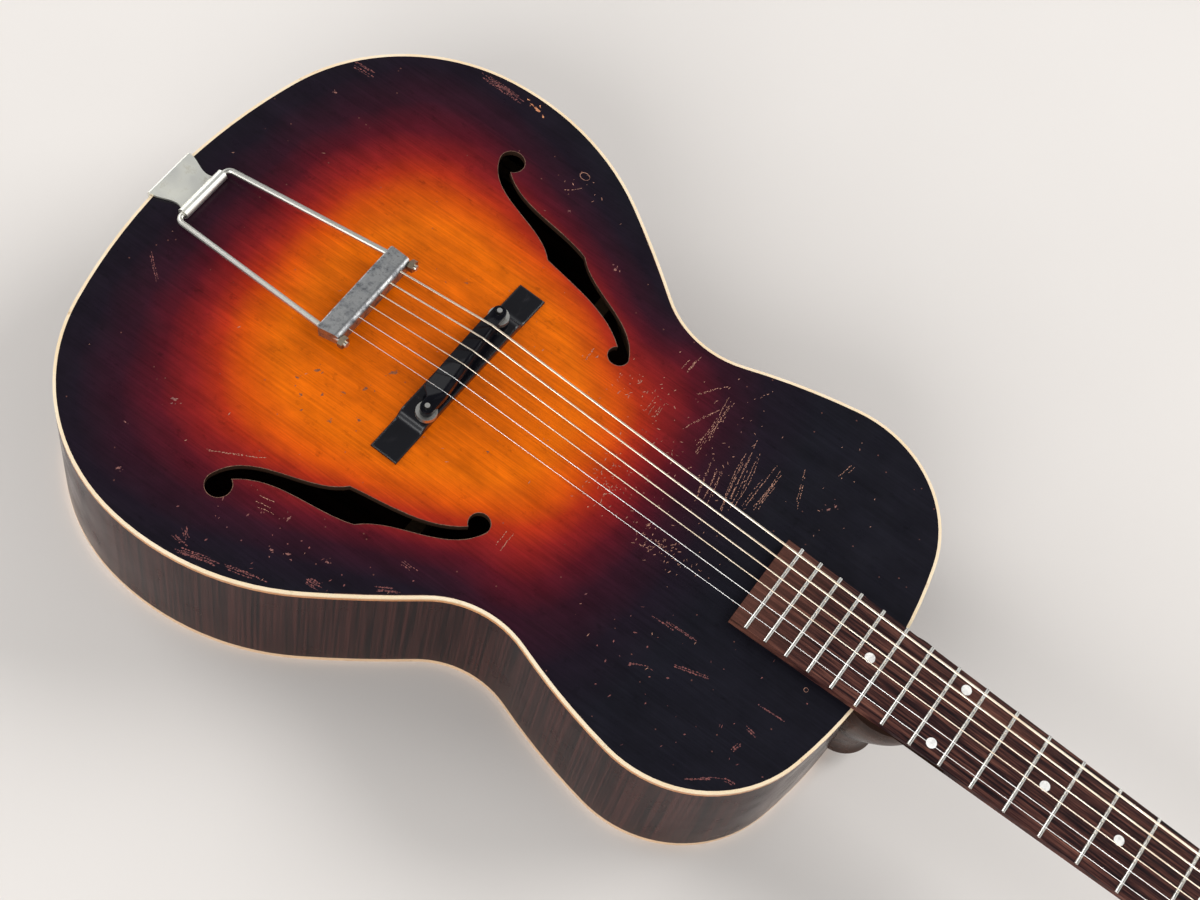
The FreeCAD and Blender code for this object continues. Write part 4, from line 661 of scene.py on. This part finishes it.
def draw_stroke(work, height, line, width):
    """A tapered ribbon on the top along a line of plan points."""
    rows = []
    for index, point in enumerate(line):
        before = Vector(line[max(index - 1, 0)])
        after = Vector(line[min(index + 1, len(line) - 1)])
        way = (after - before).normalized()
        share = index / (len(line) - 1)
        half = width / 2 * (STROKE_END + (1 - STROKE_END) * math.sin(math.pi * share))
        side = Vector((-way.y, way.x)) * half
        ends = [Vector(point) + side, Vector(point) - side]
        heights = [height(*end) for end in ends]
        if None in heights:
            return
        rows.append([Vector((end.x, end.y, z + MARK_LIFT)) for end, z in zip(ends, heights)])
    made = [[work.verts.new(corner) for corner in row] for row in rows]
    for low, high in zip(made, made[1:]):
        work.faces.new((low[1], high[1], high[0], low[0]))


def draw_chip(work, height, middle, size, heading):
    """A small ragged patch, longer along its heading."""
    way = Vector((math.cos(math.radians(heading)), math.sin(math.radians(heading))))
    side = Vector((-way.y, way.x))
    corners = []
    for step in range(CHIP_CORNERS):
        angle = 2 * math.pi * step / CHIP_CORNERS
        reach = size * random.uniform(0.35, 1.0)
        along = way * CHIP_LENGTH * reach * math.cos(angle)
        aside = side * CHIP_WIDTH * reach * math.sin(angle)
        spot = Vector(middle) + along + aside
        z = height(*spot)
        if z is None:
            return
        corners.append((*spot, z + MARK_LIFT))
    work.faces.new([work.verts.new(corner) for corner in corners])


def draw_chips(height, chips):
    """Each chip as a patch with smaller ones beside it."""
    work = bmesh.new()
    for middle, size, heading in chips:
        draw_chip(work, height, middle, size, heading)
        for _ in range(3):
            beside = [random.gauss(place, 1.6 * size) for place in middle]
            draw_chip(work, height, beside, size * random.uniform(0.15, 0.45), random.gauss(heading, 40))
    return work


def broken_lines(rows, gap):
    """Lines of flecks with uneven gaps, side by side between two places."""
    for start, end, count, spread in rows:
        way = Vector(end) - Vector(start)
        side = Vector((-way.y, way.x)).normalized()
        for _ in range(count):
            aside = side * random.uniform(-spread, spread) / 2
            first = Vector(start) + aside + way * random.uniform(0, 0.3)
            run = way * random.uniform(0.45, 0.8)
            bow = side * run.length * random.gauss(0, 0.018)
            done = 0.0
            while done < 1.0:
                fleck = random.uniform(*DASH_LENGTH) / run.length
                shift = side * random.gauss(0, 0.00012)
                shares = [done + fleck * step / 2 for step in range(3)]
                yield [first + shift + run * share + bow * math.sin(math.pi * share) for share in shares]
                done += fleck + random.expovariate(1 / gap) / run.length


def flecks(groups):
    """Single short marks spread about a place."""
    for middle, spread, count in groups:
        for _ in range(count):
            start = Vector((random.gauss(middle[0], spread[0]), random.gauss(middle[1], spread[1])))
            angle = math.radians(random.gauss(*FLECK_HEADING))
            way = Vector((math.cos(angle), math.sin(angle))) * random.uniform(*FLECK_LENGTH)
            yield [start + way * share for share in (0, 0.5, 1)]


def ring(middle, radius, wide=1.0):
    """A closed line round a place."""
    angles = [2 * math.pi * step / RING_STEPS for step in range(RING_STEPS + 1)]
    return [Vector(middle) + Vector((wide * math.cos(a), math.sin(a))) * radius for a in angles]


def mark_paint(name, light, dark):
    """Bare or stained wood that shows through worn finish."""
    paint = Paint(name)
    cloud = paint.noise((900, 900, 900), 3.0)
    paint.link("Base Color", paint.mix(paint.grey(cloud, 0.35, 0.65), dark, light))
    paint.link("Roughness", paint.grey(cloud, 0.3, 0.7, 0.5, 0.75))
    return paint.material


def finish_marks(name, work, paint):
    """Turns drawn marks into a piece on the guitar."""
    mesh = bpy.data.meshes.new(name)
    work.to_mesh(mesh)
    work.free()
    new_piece(name, mesh, paint, "guitar")


def hole_rims():
    """Thin ribbons on the top along the edges of the f-holes."""
    work = bmesh.new()
    work.from_mesh(nodes["top_plate"].data)
    bmesh.ops.remove_doubles(work, verts=work.verts, dist=1e-6)
    most_x, least_y, most_y = HOLE_REGION
    lift = Vector((0, 0, MARK_LIFT))
    quads = []
    for edge in work.edges:
        middle = (edge.verts[0].co + edge.verts[1].co) / 2
        inside = abs(middle.x) < most_x and least_y < abs(middle.y) < most_y
        if not inside or len(edge.link_faces) != 2:
            continue
        upper = [face for face in edge.link_faces if face.normal.z > 0.8]
        walls = [face for face in edge.link_faces if abs(face.normal.z) < 0.3]
        if not upper or not walls:
            continue
        away = -walls[0].normal * random.uniform(*BARE_RIM_WIDTH)
        first, last = (vert.co + lift for vert in edge.verts)
        quads.append((first, last, last + away, first + away))
    work.free()
    rims = bmesh.new()
    for quad in quads:
        rims.faces.new([rims.verts.new(corner) for corner in quad])
    bmesh.ops.recalc_face_normals(rims, faces=rims.faces)
    return rims


def wear():
    """Scratches, scuffs, chips, stains and the bare rims of the f-holes."""
    height = top_height()
    work = bmesh.new()
    for line in [*broken_lines(SCRATCH_ROWS, SCRATCH_GAP), *flecks(FLECK_GROUPS)]:
        draw_stroke(work, height, line, random.uniform(*SCRATCH_WIDTH))
    draw_stroke(work, height, ring(RING_MARK, 0.0024, 1.3), 0.0004)
    draw_stroke(work, height, ring(SMALL_HOLE, 0.0012), 0.0003)
    finish_marks("top_scratches", work,
                 mark_paint("scratched_lacquer", (0.46, 0.23, 0.15), (0.24, 0.10, 0.070)))
    work = bmesh.new()
    for line in [*broken_lines(SCUFF_ROWS, SCUFF_GAP), *flecks(DULL_FLECK_GROUPS)]:
        draw_stroke(work, height, line, random.uniform(*SCUFF_WIDTH))
    finish_marks("top_scuffs", work,
                 mark_paint("scuffed_lacquer", (0.22, 0.060, 0.050), (0.070, 0.018, 0.022)))
    finish_marks("top_chips", draw_chips(height, CHIPS),
                 mark_paint("chipped_lacquer", (0.26, 0.10, 0.075), (0.12, 0.040, 0.040)))
    finish_marks("bare_chips", draw_chips(height, BARE_CHIPS),
                 mark_paint("bare_spruce", (0.62, 0.27, 0.12), (0.36, 0.11, 0.045)))
    finish_marks("top_stains", draw_chips(height, STAINS),
                 mark_paint("dark_stain", (0.30, 0.080, 0.012), (0.13, 0.040, 0.018)))
    finish_marks("hole_rims", hole_rims(),
                 mark_paint("raw_rim", (0.22, 0.10, 0.055), (0.060, 0.028, 0.020)))


def floor_paint():
    """Plain pale floor with a very soft unevenness."""
    paint = Paint("pale_floor", Roughness=0.9, Specular_IOR_Level=0.1)
    cloud = paint.grey(paint.noise((2, 2, 2), 3.0), 0.3, 0.7)
    paint.link("Base Color", paint.mix(cloud, (0.68, 0.642, 0.608), (0.72, 0.682, 0.648)))
    return paint.material


def lamp(name, place, width, strength):
    """Soft light from a direction, as wide as an angle in degrees."""
    light = bpy.data.lights.new(name, "SUN")
    light.angle = math.radians(width)
    light.energy = strength
    holder = bpy.data.objects.new(name, light)
    bpy.context.scene.collection.objects.link(holder)
    holder.location = place
    holder.rotation_euler = (-Vector(place)).to_track_quat("-Z", "Y").to_euler()


def room():
    """Soft light from all round, darker overhead."""
    world = bpy.data.worlds.new("soft_room")
    world.use_nodes = True
    tree = world.node_tree
    back = tree.nodes["Background"]
    split = tree.nodes.new("ShaderNodeSeparateXYZ")
    shade = tree.nodes.new("ShaderNodeMapRange")
    tree.links.new(tree.nodes.new("ShaderNodeTexCoord").outputs["Generated"], split.inputs[0])
    tree.links.new(split.outputs["Z"], shade.inputs[0])
    for index, value in enumerate(ROOM_LIGHT, 1):
        shade.inputs[index].default_value = value
    tree.links.new(shade.outputs[0], back.inputs["Strength"])
    back.inputs["Color"].default_value = ROOM_COLOUR
    bpy.context.scene.world = world


def studio():
    """Pale floor, soft light and the photograph's camera."""
    floor_mesh = bpy.data.meshes.new("floor")
    corners = [(-1, -1), (1, -1), (1, 1), (-1, 1)]
    points = [(FLOOR_HALF * x, FLOOR_HALF * y, 0) for x, y in corners]
    floor_mesh.from_pydata(points, [], [(0, 1, 2, 3)])
    floor = bpy.data.objects.new("floor", floor_mesh)
    bpy.context.scene.collection.objects.link(floor)
    floor_mesh.materials.append(floor_paint())
    floor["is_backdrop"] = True
    for name, (place, width, strength) in LAMPS.items():
        lamp(name, place, width, strength)
    room()
    camera = bpy.data.objects.new("camera", bpy.data.cameras.new("camera"))
    bpy.context.scene.collection.objects.link(camera)
    right = Vector(CAMERA_RIGHT).normalized()
    up = (Vector(CAMERA_UP) - right * Vector(CAMERA_UP).dot(right)).normalized()
    back = right.cross(up)
    turn = Matrix((right, up, back)).transposed().to_4x4()
    camera.matrix_world = Matrix.Translation(CAMERA_PLACE) @ turn
    camera.data.lens = CAMERA_LENS
    camera.data.sensor_width = CAMERA_SENSOR
    bpy.context.scene.camera = camera
    bpy.context.scene.view_settings.view_transform = "Standard"


dress()
strings()
wear()
studio()
boxes = {"cad": cad_box, "visual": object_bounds()}
{name: [list(corner) for corner in box] for name, box in boxes.items()}
